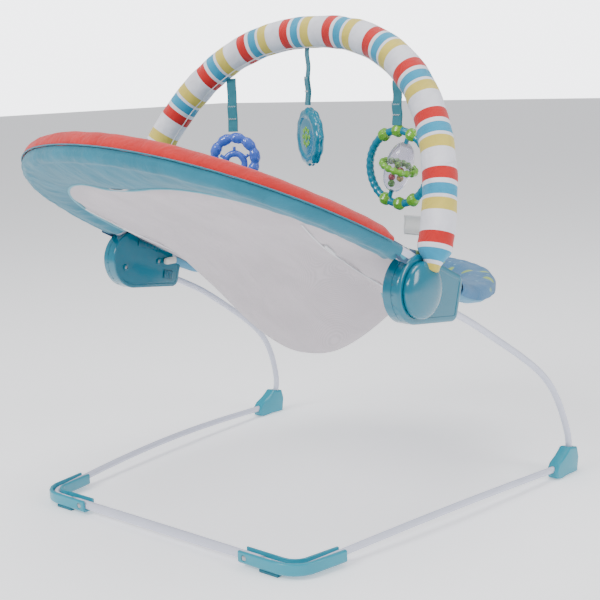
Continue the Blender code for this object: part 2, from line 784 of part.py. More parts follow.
def make_hub_screw(side, sign, number, u, v):
    """A pan-head screw from the inner half into the clamp, and its stepped hole."""
    at = hub_point(u, v, 0)
    start = HUB_INNER_X + 0.0030
    tip = HUB_OUTER_X - HUB_WALL - 0.0040
    neck = start + SCREW_HEAD_HEIGHT
    shape = [(start, SCREW_HEAD_RADIUS * 0.7), (start + 0.0005, SCREW_HEAD_RADIUS)]
    shape += [(neck, SCREW_HEAD_RADIUS), (neck, SCREW_RADIUS), (tip, SCREW_RADIUS)]
    name = f"hub_screw_{side}_{number}"
    add_part(name, turned(shape, at, (sign, 0, 0), 10), "screw_steel")
    wide = SCREW_HEAD_RADIUS + 0.0005
    narrow = SCREW_RADIUS + GAP
    hole = [(HUB_INNER_X - 0.002, wide), (neck + GAP, wide), (neck + GAP, narrow)]
    hole += [(tip + GAP, narrow)]
    return add_cutter(f"cut_{name}", turned(hole, at, (sign, 0, 0), 12))


def make_bar_pivot(side, sign):
    """The pin in the hub, the turning arm that holds the bar's end, and the dome over it."""
    axis = (sign, 0, 0)
    head_x = DISC_X + BAR_DISC_THICK
    pin = [(HUB_INNER_X + 0.0045, PIVOT_RADIUS), (DISC_X - 0.0003, PIVOT_RADIUS)]
    add_part(f"bar_pivot_pin_{side}", turned(pin, HUB_CENTRE, axis, 14), "screw_steel")
    tilt = math.radians(BAR_TILT)
    up = Vector((0, -math.sin(tilt), math.cos(tilt)))
    across = Vector((0, math.cos(tilt), math.sin(tilt)))
    steps = 16
    reach = BAR_ARM_LENGTH
    outline = []
    half = BAR_ARM_WIDTH / 2
    opening = math.asin(half / BAR_DISC_RADIUS)
    for i in range(steps + 1):
        a = math.pi / 2 + opening + (2 * math.pi - 2 * opening) * i / steps
        outline.append((BAR_DISC_RADIUS * math.cos(a), BAR_DISC_RADIUS * math.sin(a)))
    outline += [(half, reach - 0.002), (half - 0.002, reach), (-half + 0.002, reach)]
    outline += [(-half, reach - 0.002)]
    rings = []
    for x in (DISC_X, head_x):
        rings.append([HUB_CENTRE + Vector((sign * x, 0, 0)) + across * p + up * q for p, q in outline])
    plate = add_part(f"bar_arm_{side}", skin(rings), "hub_plastic")
    outer_x = BAR_HALF_WIDTH + BAR_RADIUS + 0.0018
    size = (outer_x - DISC_X, BAR_ARM_WIDTH - 0.0006, reach - DOME_RADIUS - 0.001)
    middle = HUB_CENTRE + up * (DOME_RADIUS + 0.001 + size[2] / 2)
    middle.x = sign * (DISC_X + outer_x) / 2
    socket = socket_block(side, middle, (up, across), size)
    unite(plate, [socket])
    bar_hole = lengthened(mirrored(bar_path()[:3], sign))
    cut(plate, [add_cutter(f"cut_bar_{side}", hole_rod(bar_hole, BAR_RADIUS))])
    pivot_at(plate, HUB_CENTRE + Vector((sign * DISC_X, 0, 0)))
    dome = [(DOME_X, DOME_RADIUS - 0.001), (DOME_X + 0.001, DOME_RADIUS)]
    dome += [(DOME_X + 0.0025, DOME_RADIUS - 0.0004), (DOME_X + 0.0032, DOME_RADIUS - 0.0030)]
    for i in range(1, 5):
        a = math.radians(90 - 18 * i)
        height = DOME_X + 0.0032 + (DOME_HEIGHT - 0.0032) * math.cos(a)
        dome.append((height, (DOME_RADIUS - 0.0030) * math.sin(a)))
    cap = add_part(f"bar_dome_{side}", turned(dome, HUB_CENTRE, axis, 24), "hub_plastic")
    pivot_at(cap, HUB_CENTRE + Vector((sign * DOME_X, 0, 0)))


def socket_block(side, middle, directions, size):
    """The thick end of an arm, which the bar plugs into, as a helper for its Boolean union."""
    up, across = directions
    bm = rounded_block((0, 0, 0), size, 0.0015, 1)
    turn = Matrix((across.cross(up), across, up)).transposed().to_4x4()
    bmesh.ops.transform(bm, matrix=Matrix.Translation(middle) @ turn, verts=bm.verts)
    return add_cutter(f"join_socket_{side}", bm)


# ---------------------------------------------------------------- seat frame and legs
def make_seat_frame():
    inner = TUBE_RADIUS - TUBE_WALL
    add_part("seat_back_tube", pipe(back_path(), TUBE_RADIUS, inner), "wire_paint")
    add_part("leg_rest_tube", pipe(foot_path(), TUBE_RADIUS, inner), "wire_paint")
    for side, sign in SIDES:
        leg = mirrored(leg_path(), sign)
        add_part(f"leg_wire_{side}", rod(leg, WIRE_RADIUS), "wire_paint")


# ---------------------------------------------------------------- soft goods
def rail_height(y):
    """Height of the side rails' middle at this y, with the hub bridging the two tubes."""
    back_y = FRAME_SHIFT_Y + BACK_START_Y
    front_y = FRAME_SHIFT_Y + HUB_FRONT_Y
    if y >= back_y:
        return BACK_START_Z + (y - back_y) * math.tan(math.radians(BACK_ANGLE))
    if y <= front_y:
        return foot_height(y)
    t = (y - front_y) / (back_y - front_y)
    return foot_height(front_y) + (BACK_START_Z - foot_height(front_y)) * t


def inset_outline(steps=24):
    """The edge of the sling in plan, head to foot: the rails drawn in, as (y, half width)."""
    slope = math.cos(math.radians(BACK_ANGLE))
    loops = (
        (BACK_LENGTH, BACK_ROUNDNESS, FRAME_SHIFT_Y + BACK_START_Y, slope),
        (FOOT_LENGTH, 2.0, FRAME_SHIFT_Y + FOOT_CENTRE_Y, -1.0),
    )
    edges = []
    for length, roundness, start, way in loops:
        curve = []
        for i in range(steps + 1):
            a = math.pi / 2 * i / steps
            share = math.sin(a) ** (2 / roundness)
            width = math.cos(a) ** (2 / roundness)
            curve.append((RAIL_HALF_WIDTH * width, length * share))
        edge = []
        for i, (x, along) in enumerate(curve):
            before = curve[max(i - 1, 0)]
            after = curve[min(i + 1, steps)]
            dx, dy = after[0] - before[0], after[1] - before[1]
            size = math.hypot(dx, dy)
            inner_x = x - RAIL_TO_PAD * dy / size
            inner_y = along + RAIL_TO_PAD * dx / size
            edge.append((start + inner_y * way, min(inner_x, HUB_INNER_X - HUB_TO_PAD)))
        edges.append(edge)
    return edges[0][::-1] + edges[1]


OUTLINE = inset_outline()


def sling_half_width(y):
    """Half width of the sling at this y: the rails less the room that the cover takes."""
    for (y_1, x_1), (y_2, x_2) in zip(OUTLINE, OUTLINE[1:]):
        if y_2 <= y <= y_1:
            return x_1 + (x_2 - x_1) * (y - y_1) / (y_2 - y_1)
    return END_HALF_WIDTH


def end_of_sling(edge):
    """The y where the sling has narrowed to its straight end."""
    for (y_1, x_1), (y_2, x_2) in zip(edge, edge[1:]):
        if x_1 <= END_HALF_WIDTH <= x_2:
            return y_1 + (y_2 - y_1) * (END_HALF_WIDTH - x_1) / (x_2 - x_1)
    return edge[0][0]


HEAD_Y = end_of_sling(OUTLINE)
FOOT_Y = end_of_sling(OUTLINE[::-1])


def pocket_depth(y):
    spread = POCKET_REAR if y > FRAME_SHIFT_Y + POCKET_Y else POCKET_FRONT
    return POCKET_SAG * math.exp(-(((y - FRAME_SHIFT_Y - POCKET_Y) / spread) ** 2))


BACK_SEAM_Y = FRAME_SHIFT_Y + 0.165
LEG_SEAM_Y = FRAME_SHIFT_Y - 0.130
BACK_ROWS = [HEAD_Y + (BACK_SEAM_Y - HEAD_Y) * t for t in (0, 0.08, 0.22, 0.42, 0.68, 1.0)]
SEAT_ROWS = [BACK_SEAM_Y + (LEG_SEAM_Y - BACK_SEAM_Y) * i / 11 for i in range(12)]
LEG_ROWS = [FOOT_Y + (LEG_SEAM_Y - FOOT_Y) * t for t in (1.0, 0.68, 0.4, 0.18, 0)]
ROWS = BACK_ROWS + SEAT_ROWS[1:] + LEG_ROWS[1:]
ACROSS = (-1.0, -0.93, -0.84, -0.68, -0.36, 0.0, 0.36, 0.68, 0.84, 0.93, 1.0)


def sling_height(share, y):
    """Height of the middle of the hanging sling, at this share of its half width."""
    shallow = SLING_SAG * (1 - abs(share) ** SLING_SQUARENESS)
    middle = 1 - min(abs(share) / POCKET_SHARE, 1.0) ** POCKET_SQUARENESS
    return rail_height(y) - shallow - pocket_depth(y) * middle


def sling_point(share, y, height=0.0):
    """A point over the sling's facets, so that layers laid on it never cross."""
    index = next(i for i in range(len(ROWS) - 1) if ROWS[i + 1] <= y + 1e-9)
    t = (ROWS[index] - y) / (ROWS[index] - ROWS[index + 1])
    column = next(i for i in range(len(ACROSS) - 1) if share <= ACROSS[i + 1] + 1e-9)
    u = (share - ACROSS[column]) / (ACROSS[column + 1] - ACROSS[column])
    corners = []
    for row in (ROWS[index], ROWS[index + 1]):
        for way in (ACROSS[column], ACROSS[column + 1]):
            corners.append(Vector((way * sling_half_width(row), row, sling_height(way, row))))
    point = corners[0].lerp(corners[1], u).lerp(corners[2].lerp(corners[3], u), t)
    point.z += height
    return point


def sheet(rows, low, high, shares=ACROSS):
    """A padded sheet over the sling between two heights off its middle."""
    rings = []
    for y in rows:
        under = [sling_point(share, y, low) for share in shares]
        over = [sling_point(share, y, high) for share in shares]
        rings.append(under + over[::-1])
    return skin(rings, triangles=True)


def make_soft_seat():
    half = SLING_THICK / 2
    low = half + LAYER_GAP
    high = low + PAD_THICK
    seam = 0.0008
    inner = (-0.985,) + ACROSS[1:-1] + (0.985,)
    add_part("sling_mesh", sheet(ROWS, -half, half), "sling_mesh")
    back = [HEAD_Y - 0.001] + BACK_ROWS[1:-1] + [BACK_SEAM_Y + seam]
    add_part("back_pad", sheet(back, low, high, inner), "pad_print")
    seat = [BACK_SEAM_Y - seam] + SEAT_ROWS[1:-1] + [LEG_SEAM_Y + seam]
    add_part("seat_pad", sheet(seat, low, high, inner), "pad_print")
    leg = [LEG_SEAM_Y - seam] + LEG_ROWS[1:-1] + [FOOT_Y + 0.001]
    add_part("leg_pad", sheet(leg, low, high, inner), "pad_print")
    make_covers()
    make_border()
    make_harness()


def make_covers():
    outer = TUBE_RADIUS + COVER_WALL
    inner = TUBE_RADIUS + GAP
    start_y = back_point(0.028).y
    back = [p for p in back_path() if p.y >= start_y]
    add_part("back_cover_sleeve", pipe(back, outer, inner), "cover_teal")
    end_y = FRAME_SHIFT_Y + HUB_FRONT_Y - 0.022
    leg = [p for p in foot_path() if p.y <= end_y]
    add_part("leg_cover_sleeve", pipe(leg, outer, inner), "cover_teal")
    lift = outer + RIM_HALF_HEIGHT + 0.0006
    rim = back_path(-0.012, lift, 0.003)
    slope = math.radians(BACK_ANGLE)
    normal = Vector((0, -math.sin(slope), math.cos(slope)))
    frames = []
    for i in range(len(rim)):
        along = (rim[min(i + 1, len(rim) - 1)] - rim[max(i - 1, 0)]).normalized()
        frames.append((along.cross(normal).normalized(), normal))
    section = [
        (RIM_HALF_WIDTH * math.cos(math.pi * i / 4), RIM_HALF_HEIGHT * math.sin(math.pi * i / 4))
        for i in range(8)
    ]
    add_part("red_rim_roll", skin(place(rim, frames, [section] * len(rim))), "rim_red")


def make_border():
    """The coloured border sewn under the sling, along both sides and round the head end."""
    high = -SLING_THICK / 2 - LAYER_GAP
    low = high - 0.0016
    rows = [HEAD_Y - 0.0005] + [y for y in ROWS[1:] if y > FRAME_SHIFT_Y + BACK_START_Y]
    for name, sign in SIDES:
        shares = [sign * share for share in (0.99,) + ACROSS[-2:-5:-1]][::-sign]
        border = sheet(rows, low, high, shares)
        add_part(f"underside_border_{name}", border, "cover_teal")


def pad_top(x, y):
    """A point on top of the pads."""
    height = SLING_THICK / 2 + LAYER_GAP + PAD_THICK
    return sling_point(x / sling_half_width(y), y, height)


def strap_on_pad(points, width, thick):
    """A flat strap that lies on the seat pad along these (x, y) points."""
    rings = []
    for i, (x, y) in enumerate(points):
        ahead = points[min(i + 1, len(points) - 1)]
        behind = points[max(i - 1, 0)]
        along = Vector((ahead[0] - behind[0], ahead[1] - behind[1])).normalized()
        edge = [(x - along.y * width / 2 * k, y + along.x * width / 2 * k) for k in (-1, 0, 1)]
        base = max(pad_top(*at).z for at in edge) + STRAP_GAP
        low = [Vector((*at, base)) for at in edge]
        high = [Vector((*at, base + thick)) for at in edge]
        rings.append(low + high[::-1])
    return skin(rings)


def make_harness():
    lap_y = SEAT_ROWS[5]
    size = (0.046, 0.034, 0.011)
    corners = [(i * size[0] / 2, lap_y + j * size[1] / 2) for i in (-1, 1) for j in (-1, 1)]
    low = max(pad_top(*corner).z for corner in corners) + LAYER_GAP
    buckle = rounded_block((0, lap_y, low + size[2] / 2), size, 0.003, 2)
    add_part("harness_buckle", buckle, "buckle_grey")
    for side, sign in SIDES:
        xs = [0.0245 + 0.105 * i / 9 for i in range(10)]
        folds = [share * sling_half_width(lap_y) for share in ACROSS]
        xs = sorted(xs + [x for x in folds if xs[0] + 0.002 < x < xs[-1] - 0.002])
        strap = strap_on_pad([(sign * x, lap_y) for x in xs], 0.024, 0.002)
        add_part(f"waist_strap_{side}", strap, "strap_teal")
        at = hub_point(0.052, 0.006, sign * (HUB_INNER_X - 0.0055))
        hook = rounded_block(at, (0.0085, 0.017, 0.008), 0.0015, 1)
        add_part(f"cover_hook_{side}", hook, "hook_white")
    ys = [lap_y - 0.0185 - 0.080 * i / 6 for i in range(7)]
    ys = sorted(ys + [y for y in ROWS if ys[-1] + 0.002 < y < ys[0] - 0.002], reverse=True)
    crotch = strap_on_pad([(0.0, y) for y in ys], 0.046, 0.005)
    add_part("crotch_strap", crotch, "pad_print")


# ---------------------------------------------------------------- toy bar and toys
def make_toy_bar():
    path = bar_path()
    bar = add_part("toy_bar_rod", rod(path, BAR_RADIUS, 8), "wire_paint")
    inner = BAR_RADIUS + GAP
    turned = [(p, f) for p, f in zip(path, frames_along(path)) if bar_rise(p) >= SLEEVE_START]
    covered = [p for p, f in turned]
    bar_frames = [f for p, f in turned]
    shares = [0.6, 0.92] + [1.0] * (len(covered) - 4) + [0.92, 0.6]
    out = place(covered, frames_along(covered), [circle(SLEEVE_RADIUS * s, 8) for s in shares])
    bore = place(covered, bar_frames, [circle(inner, 8)] * len(covered))
    sleeve = add_part("toy_bar_sleeve", skin(out + bore[::-1], closed_loop=True), "bar_fabric")
    tag = make_tag()
    for obj in (bar, sleeve, tag):
        pivot_at(obj, HUB_CENTRE)


def make_tag():
    """The blank white label sewn to the sleeve's inner side on the baby's right."""
    base = bar_point(168)
    inward = Vector((1, 0, 0))
    low = base + inward * (SLEEVE_RADIUS * 0.8 + 0.0012) + Vector((0, 0, -0.006))
    size = (0.028, 0.0012, 0.020)
    centre = low + Vector((size[0] / 2, 0.0, 0.0))
    return add_part("toy_bar_tag", block(centre, size), "tag_white", smooth=False)


def strap_top(angle):
    """The place under the sleeve where a strap is sewn."""
    point = bar_point(angle)
    along = (bar_point(angle + 1) - bar_point(angle - 1)).normalized()
    level = math.hypot(along.x, along.y)
    drop = (SLEEVE_RADIUS + STRAP_WIDTH / 2 * abs(along.z)) / level + 0.0008
    return point - Vector((0, 0, drop))


def facing(heading):
    """A hanging toy's face normal at this heading, measured from +X to +Y."""
    a = math.radians(heading)
    return Vector((math.cos(a), math.sin(a), 0))


def make_strap(name, top, length):
    """A folded flat strap, straight down from the sleeve, its width along the bar."""
    size = (STRAP_WIDTH, STRAP_THICK, length)
    strap = block(top - Vector((0, 0, length / 2)), size)
    pivot_at(add_part(name, strap, "strap_teal", smooth=False), top)


TOY_ANGLES = {"teether": 62.0, "rattle": 89.0, "spinner": 121.0}
TOY_STRAPS = {"teether": 0.064, "rattle": 0.066, "spinner": 0.048}
TOY_HEADINGS = {"teether": 118.0, "rattle": 62.0, "spinner": 90.0}


def make_toys():
    make_teether()
    make_rattle()
    make_spinner_toy()


def make_teether():
    top = strap_top(TOY_ANGLES["teether"])
    normal = facing(TOY_HEADINGS["teether"])
    length = TOY_STRAPS["teether"]
    make_strap("teether_strap", top, length)
    centre = top + Vector((0, 0, -length - GAP - TEETHER_RADIUS - TEETHER_TUBE))
    ring = ring_body(centre, normal, TEETHER_RADIUS, TEETHER_TUBE, 24, 8)
    drop = TEETHER_RADIUS - TEETHER_TUBE - SMALL_RING_RADIUS - SMALL_RING_TUBE + 0.0020
    small = centre - Vector((0, 0, drop))
    teether = add_part("teether_ring", ring, "teether_blue")
    pivot_at(teether, top)
    helper = ring_body(small, normal, SMALL_RING_RADIUS, SMALL_RING_TUBE, 16, 6)
    unite(teether, [add_cutter("join_small_ring", helper)])


def make_rattle():
    top = strap_top(TOY_ANGLES["rattle"])
    normal = facing(TOY_HEADINGS["rattle"])
    length = TOY_STRAPS["rattle"]
    make_strap("rattle_strap", top, length)
    centre = top + Vector((0, 0, -length - GAP - RATTLE_RADIUS))
    half = RATTLE_THICK / 2
    edge = RATTLE_RADIUS
    shape = [(-half + 0.002, edge * 0.60), (-half, edge * 0.70), (-half, edge - 0.004)]
    shape += [(-half + 0.003, edge), (half - 0.003, edge), (half, edge - 0.004)]
    shape += [(half, edge * 0.70), (half - 0.002, edge * 0.60)]
    pivot_at(add_part("rattle_disc", turned(shape, centre, normal, 24), "rattle_teal"), top)


def make_spinner_toy():
    top = strap_top(TOY_ANGLES["spinner"])
    normal = facing(TOY_HEADINGS["spinner"])
    length = TOY_STRAPS["spinner"]
    make_strap("spinner_strap", top, length)
    centre = top + Vector((0, 0, -length - GAP - LOOP_RADIUS - LOOP_TUBE))
    tilt = math.radians(SPINNER_TILT)
    axis = Vector((-math.sin(tilt), 0, math.cos(tilt)))
    loop_body = ring_body(centre, normal, LOOP_RADIUS, LOOP_TUBE, 28, 6)
    loop = add_part("spinner_loop", loop_body, "rattle_teal")
    pins = []
    for number, way in ((1, 1), (2, -1)):
        pin = [(SPINNER_LENGTH / 2 - 0.005, SPIN_PIN_RADIUS), (LOOP_RADIUS, SPIN_PIN_RADIUS)]
        pins.append(add_cutter(f"join_pin_{number}", turned(pin, centre, axis * way, 8)))
    unite(loop, pins)
    pivot_at(loop, top)
    half = SPINNER_LENGTH / 2
    shape = []
    for i in range(11):
        a = math.pi * i / 10
        blunt = max(math.sin(a), 0.0) ** 0.8
        shape.append((-half * math.cos(a), max(SPINNER_RADIUS * blunt, 0.0042)))
    shell = add_part("spinner_shell", turned(shape, centre, axis, 16), "clear_shell")
    wide = SPIN_PIN_RADIUS + 0.0004
    holes = []
    for number, way in ((1, 1), (2, -1)):
        bore = [(half - 0.0056, wide), (half + 0.002, wide)]
        holes.append(add_cutter(f"cut_spin_{number}", turned(bore, centre, axis * way, 8)))
    cut(shell, holes)
    pivot_at(shell, centre)
    gap = SPIN_RING_RADIUS - SPIN_RING_TUBE - SPINNER_RADIUS
    ring = ring_body(centre, axis, SPIN_RING_RADIUS + max(GAP - gap, 0.0), SPIN_RING_TUBE, 20, 6)
    pivot_at(add_part("spinner_ring", ring, "bead_green"), centre)


def main():
    clear_scene()
    make_base()
    make_seat_frame()
    for side, sign in SIDES:
        make_hub(side, sign)
    make_soft_seat()
    make_toy_bar()
    make_toys()


main()
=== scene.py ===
# %% [markdown]
# # A baby bouncer seat
# The bouncer has a base of bent wire, two round-ended hubs, an oval seat that hangs between two tubes,
# and a padded bar with three toys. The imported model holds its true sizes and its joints. This lesson
# dresses that model: it sews the fabric parts, moulds the fine plastic shells and mixes the finishes.
# Everything is in metres, with +Z up, +Y towards the head end and +X to the baby's left.

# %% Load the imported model
import json
import math

import bmesh
import bpy
from mathutils import Matrix, Vector, noise

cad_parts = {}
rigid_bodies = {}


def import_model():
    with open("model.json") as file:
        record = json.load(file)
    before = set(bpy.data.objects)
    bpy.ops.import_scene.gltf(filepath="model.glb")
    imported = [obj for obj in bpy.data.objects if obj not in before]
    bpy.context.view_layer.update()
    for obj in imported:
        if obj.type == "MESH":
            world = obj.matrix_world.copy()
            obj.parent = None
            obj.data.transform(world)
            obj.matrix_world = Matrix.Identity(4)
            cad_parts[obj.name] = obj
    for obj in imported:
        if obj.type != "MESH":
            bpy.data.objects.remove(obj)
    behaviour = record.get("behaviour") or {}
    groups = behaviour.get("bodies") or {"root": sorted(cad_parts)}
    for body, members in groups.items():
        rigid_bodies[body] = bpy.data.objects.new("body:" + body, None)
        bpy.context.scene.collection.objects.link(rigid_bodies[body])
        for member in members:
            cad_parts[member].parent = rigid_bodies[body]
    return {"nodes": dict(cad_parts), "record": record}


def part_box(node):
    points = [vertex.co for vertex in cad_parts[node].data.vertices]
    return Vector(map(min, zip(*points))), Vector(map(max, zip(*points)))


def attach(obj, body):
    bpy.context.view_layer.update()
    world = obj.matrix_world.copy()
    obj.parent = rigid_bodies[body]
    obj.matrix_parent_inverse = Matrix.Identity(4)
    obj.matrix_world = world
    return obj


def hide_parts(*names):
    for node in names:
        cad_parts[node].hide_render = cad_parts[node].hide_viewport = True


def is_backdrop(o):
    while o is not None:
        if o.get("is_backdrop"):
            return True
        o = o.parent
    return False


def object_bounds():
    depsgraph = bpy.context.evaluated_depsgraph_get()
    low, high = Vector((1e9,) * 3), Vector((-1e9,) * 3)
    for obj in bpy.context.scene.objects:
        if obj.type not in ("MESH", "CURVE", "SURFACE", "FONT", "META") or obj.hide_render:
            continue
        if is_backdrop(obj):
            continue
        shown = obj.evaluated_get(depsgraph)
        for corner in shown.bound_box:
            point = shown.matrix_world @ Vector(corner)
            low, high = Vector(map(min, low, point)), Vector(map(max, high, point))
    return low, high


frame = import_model()
CAD_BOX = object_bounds()
NODES = frame["nodes"]
print("packed model:", len(NODES), "nodes,", [round(side, 3) for side in CAD_BOX[1]])

# %% [markdown]
# Many pieces are tubes along a curve, shapes turned on an axis, or sheets. Each helper below starts from
# one of Blender's own mesh operators. A ring of points is extruded from place to place to make a tube,
# a profile is spun to make a turned part, and a grid is bent to make a sheet. A tube remembers how far
# along it each point lies, which lets stripes and stitches follow it later.

# %% Helpers for tubes, turned parts and sheets
MM = 0.001
SIDES = (("left", 1), ("right", -1))
UP = Vector((0, 0, 1))
NEARLY_UP = Vector((0.02, 0.01, 1.0))  # no tube runs this way, so a cross product with it is never nothing


def settle(bm):
    """Merge what touches and turn the faces outwards."""
    bmesh.ops.remove_doubles(bm, verts=bm.verts, dist=1e-6)
    bmesh.ops.recalc_face_normals(bm, faces=bm.faces)


def finish_piece(name, bm, material, body, replaces=(), slot=None, sharp=40, subdivide=0):
    """Make the object, smooth it, and let it ride on its body."""
    mesh = bpy.data.meshes.new(name)
    bm.to_mesh(mesh)
    bm.free()
    mesh.shade_smooth()
    if sharp:
        mesh.set_sharp_from_angle(angle=math.radians(sharp))
    mesh.materials.append(material)
    piece = bpy.data.objects.new(name, mesh)
    bpy.context.scene.collection.objects.link(piece)
    if subdivide:
        finer = piece.modifiers.new("finer", "SUBSURF")
        finer.levels = subdivide
        finer.render_levels = subdivide
    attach(piece, body)
    if replaces:
        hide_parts(*replaces)
    return piece


def place_along(points, across=None):
    """A turned and placed matrix at each point of a path. Its X axis follows across, if that is given,
    and is otherwise carried along without twist."""
    last = len(points) - 1
    side = None
    made = []
    for i, point in enumerate(points):
        along = (points[min(i + 1, last)] - points[max(i - 1, 0)]).normalized()
        if across is not None:
            side = across
        elif side is None:
            side = along.cross(NEARLY_UP)
        side = (side - along * side.dot(along)).normalized()
        turn = Matrix((side, along.cross(side), along)).transposed().to_4x4()
        made.append(Matrix.Translation(point) @ turn)
    return made


def swept(places, sides, shape=None):
    """A tube through the places, closed at both ends: a unit circle is extruded from place to place, and
    each ring notes how far along it lies. shape(vert) may move the circle's points first."""
    bm = bmesh.new()
    along = bm.verts.layers.float.new("along")
    first = ring = bmesh.ops.create_circle(bm, segments=sides, radius=1.0)["verts"]
    for vert in ring:
        if shape:
            shape(vert)
    bmesh.ops.transform(bm, matrix=places[0], verts=ring)
    edges = list(bm.edges)
    length = 0.0
    for before, after in zip(places, places[1:]):
        made = bmesh.ops.extrude_edge_only(bm, edges=edges)["geom"]
        ring = [item for item in made if isinstance(item, bmesh.types.BMVert)]
        inside = set(ring)
        edges = [e for e in made if isinstance(e, bmesh.types.BMEdge) and inside.issuperset(e.verts)]
        bmesh.ops.transform(bm, matrix=after @ before.inverted(), verts=ring)
        length += (after.translation - before.translation).length
        for vert in ring:
            vert[along] = length
    bmesh.ops.contextual_create(bm, geom=first)
    bmesh.ops.contextual_create(bm, geom=ring)
    settle(bm)
    return bm


def tube(points, radius, sides=16):
    """A tube along points. radius is a number, or a function of the share along it from 0 to 1."""
    places = []
    for i, place in enumerate(place_along(points)):
        size = radius(i / (len(points) - 1)) if callable(radius) else radius
        places.append(place @ Matrix.Diagonal((size, size, 1.0, 1.0)))
    return swept(places, sides)


def aimed(centre, axis):
    """A matrix that turns +Z to the axis and moves to the centre."""
    turn = UP.rotation_difference(Vector(axis)).to_matrix().to_4x4()
    return Matrix.Translation(Vector(centre)) @ turn


def spin_round(bm, geom, steps):
    bmesh.ops.spin(bm, geom=geom, cent=(0, 0, 0), axis=UP, angle=2 * math.pi, steps=steps, use_merge=True)


def spun(profile, centre, axis, sides=48):
    """A part turned about an axis. The profile holds (radius, distance along the axis)."""
    bm = bmesh.new()
    verts = [bm.verts.new((radius, 0.0, along)) for radius, along in profile]
    edges = [bm.edges.new(pair) for pair in zip(verts, verts[1:])]
    spin_round(bm, verts + edges, sides)
    bmesh.ops.transform(bm, matrix=aimed(centre, axis), verts=bm.verts)
    bmesh.ops.remove_doubles(bm, verts=bm.verts, dist=1e-6)
    bmesh.ops.holes_fill(bm, edges=[e for e in bm.edges if e.is_boundary], sides=0)
    settle(bm)
    return bm


def torus(centre, axis, radius, thick, around=64, sides=14, swell=None):
    """A ring. swell is a function of the angle round it that fattens the ring there."""
    bm = bmesh.new()
    circle = bmesh.ops.create_circle(bm, segments=sides, radius=thick)["verts"]
    lay = Matrix.Translation((radius, 0, 0)) @ Matrix.Rotation(math.pi / 2, 4, "X")
    bmesh.ops.transform(bm, matrix=lay, verts=circle)
    spin_round(bm, circle + list(bm.edges), around)
    if swell:
        for vert in bm.verts:
            angle = math.atan2(vert.co.y, vert.co.x)
            middle = Vector((math.cos(angle), math.sin(angle), 0)) * radius
            vert.co = middle + (vert.co - middle) * swell(angle)
    bmesh.ops.transform(bm, matrix=aimed(centre, axis), verts=bm.verts)
    settle(bm)
    return bm


def bent_grid(across, along, place):
    """A grid whose points go where place(u, v) says, with u and v kept on the points."""
    bm = bmesh.new()
    bmesh.ops.create_grid(bm, x_segments=across, y_segments=along, size=0.5)
    u_layer = bm.verts.layers.float.new("u")
    v_layer = bm.verts.layers.float.new("v")
    for vert in bm.verts:
        u, v = vert.co.x + 0.5, vert.co.y + 0.5
        vert[u_layer], vert[v_layer] = u, v
        vert.co = place(u, v)
    return bm


def joined(parts):
    """One bmesh from several."""
    whole = bmesh.new()
    for part in parts:
        passing = bpy.data.meshes.new("passing")
        part.to_mesh(passing)
        part.free()
        whole.from_mesh(passing)
        bpy.data.meshes.remove(passing)
    return whole


def blend_in(low, high, value):
    """A smooth step from 0 at low to 1 at high."""
    share = min(max((value - low) / (high - low), 0.0), 1.0)
    return share * share * (3 - 2 * share)


print("helpers are ready")

# %% [markdown]
# A material's look comes from its nodes. Three effects are used again and again, so each is a node group:
# a woven surface for cloth, a fine orange-peel for moulded plastic and paint, and soft folds whose crease
# pattern also paints shade and light into cloth, darker in the creases and lighter on the ridges. A group
# takes sizes as inputs and gives out a height or a mask. Each material then sets its own values on the
# shader.

# %% Node groups for cloth, plastic and folds


def feed(tree, socket, value):
    """Link another socket to this input, or set its plain value."""
    if isinstance(value, bpy.types.NodeSocket):
        tree.links.new(value, socket)
    else:
        socket.default_value = (*value, 1.0) if socket.type == "RGBA" else value


def add_node(tree, kind, settings=(), **inputs):
    """A new shader node: its settings as pairs, and a value or a socket for each input it names."""
    node = tree.nodes.new(f"ShaderNode{kind}")
    for label, value in settings:
        setattr(node, label, value)
    for label, value in inputs.items():
        feed(tree, node.inputs[label.replace("_", " ")], value)
    return node


def math_node(tree, kind, *values, family="Math"):
    """A Math or VectorMath node fed by sockets or numbers."""
    node = add_node(tree, family, [("operation", kind)])
    for socket, value in zip(node.inputs, values):
        feed(tree, socket, value)
    return node.outputs[0]


def new_group(name, inputs):
    """A shader node group with named number inputs. It gives out a height and a mask."""
    tree = bpy.data.node_groups.new(name, "ShaderNodeTree")
    for label, value in inputs:
        socket = tree.interface.new_socket(label, in_out="INPUT", socket_type="NodeSocketFloat")
        socket.default_value = value
    for label in ("Height", "Mask"):
        tree.interface.new_socket(label, in_out="OUTPUT", socket_type="NodeSocketFloat")
    return tree, tree.nodes.new("NodeGroupInput").outputs, add_node(tree, "TexCoord").outputs["Object"]


def give_out(tree, height, mask):
    result = tree.nodes.new("NodeGroupOutput")
    tree.links.new(height, result.inputs[0])
    tree.links.new(mask, result.inputs[1])
    return tree


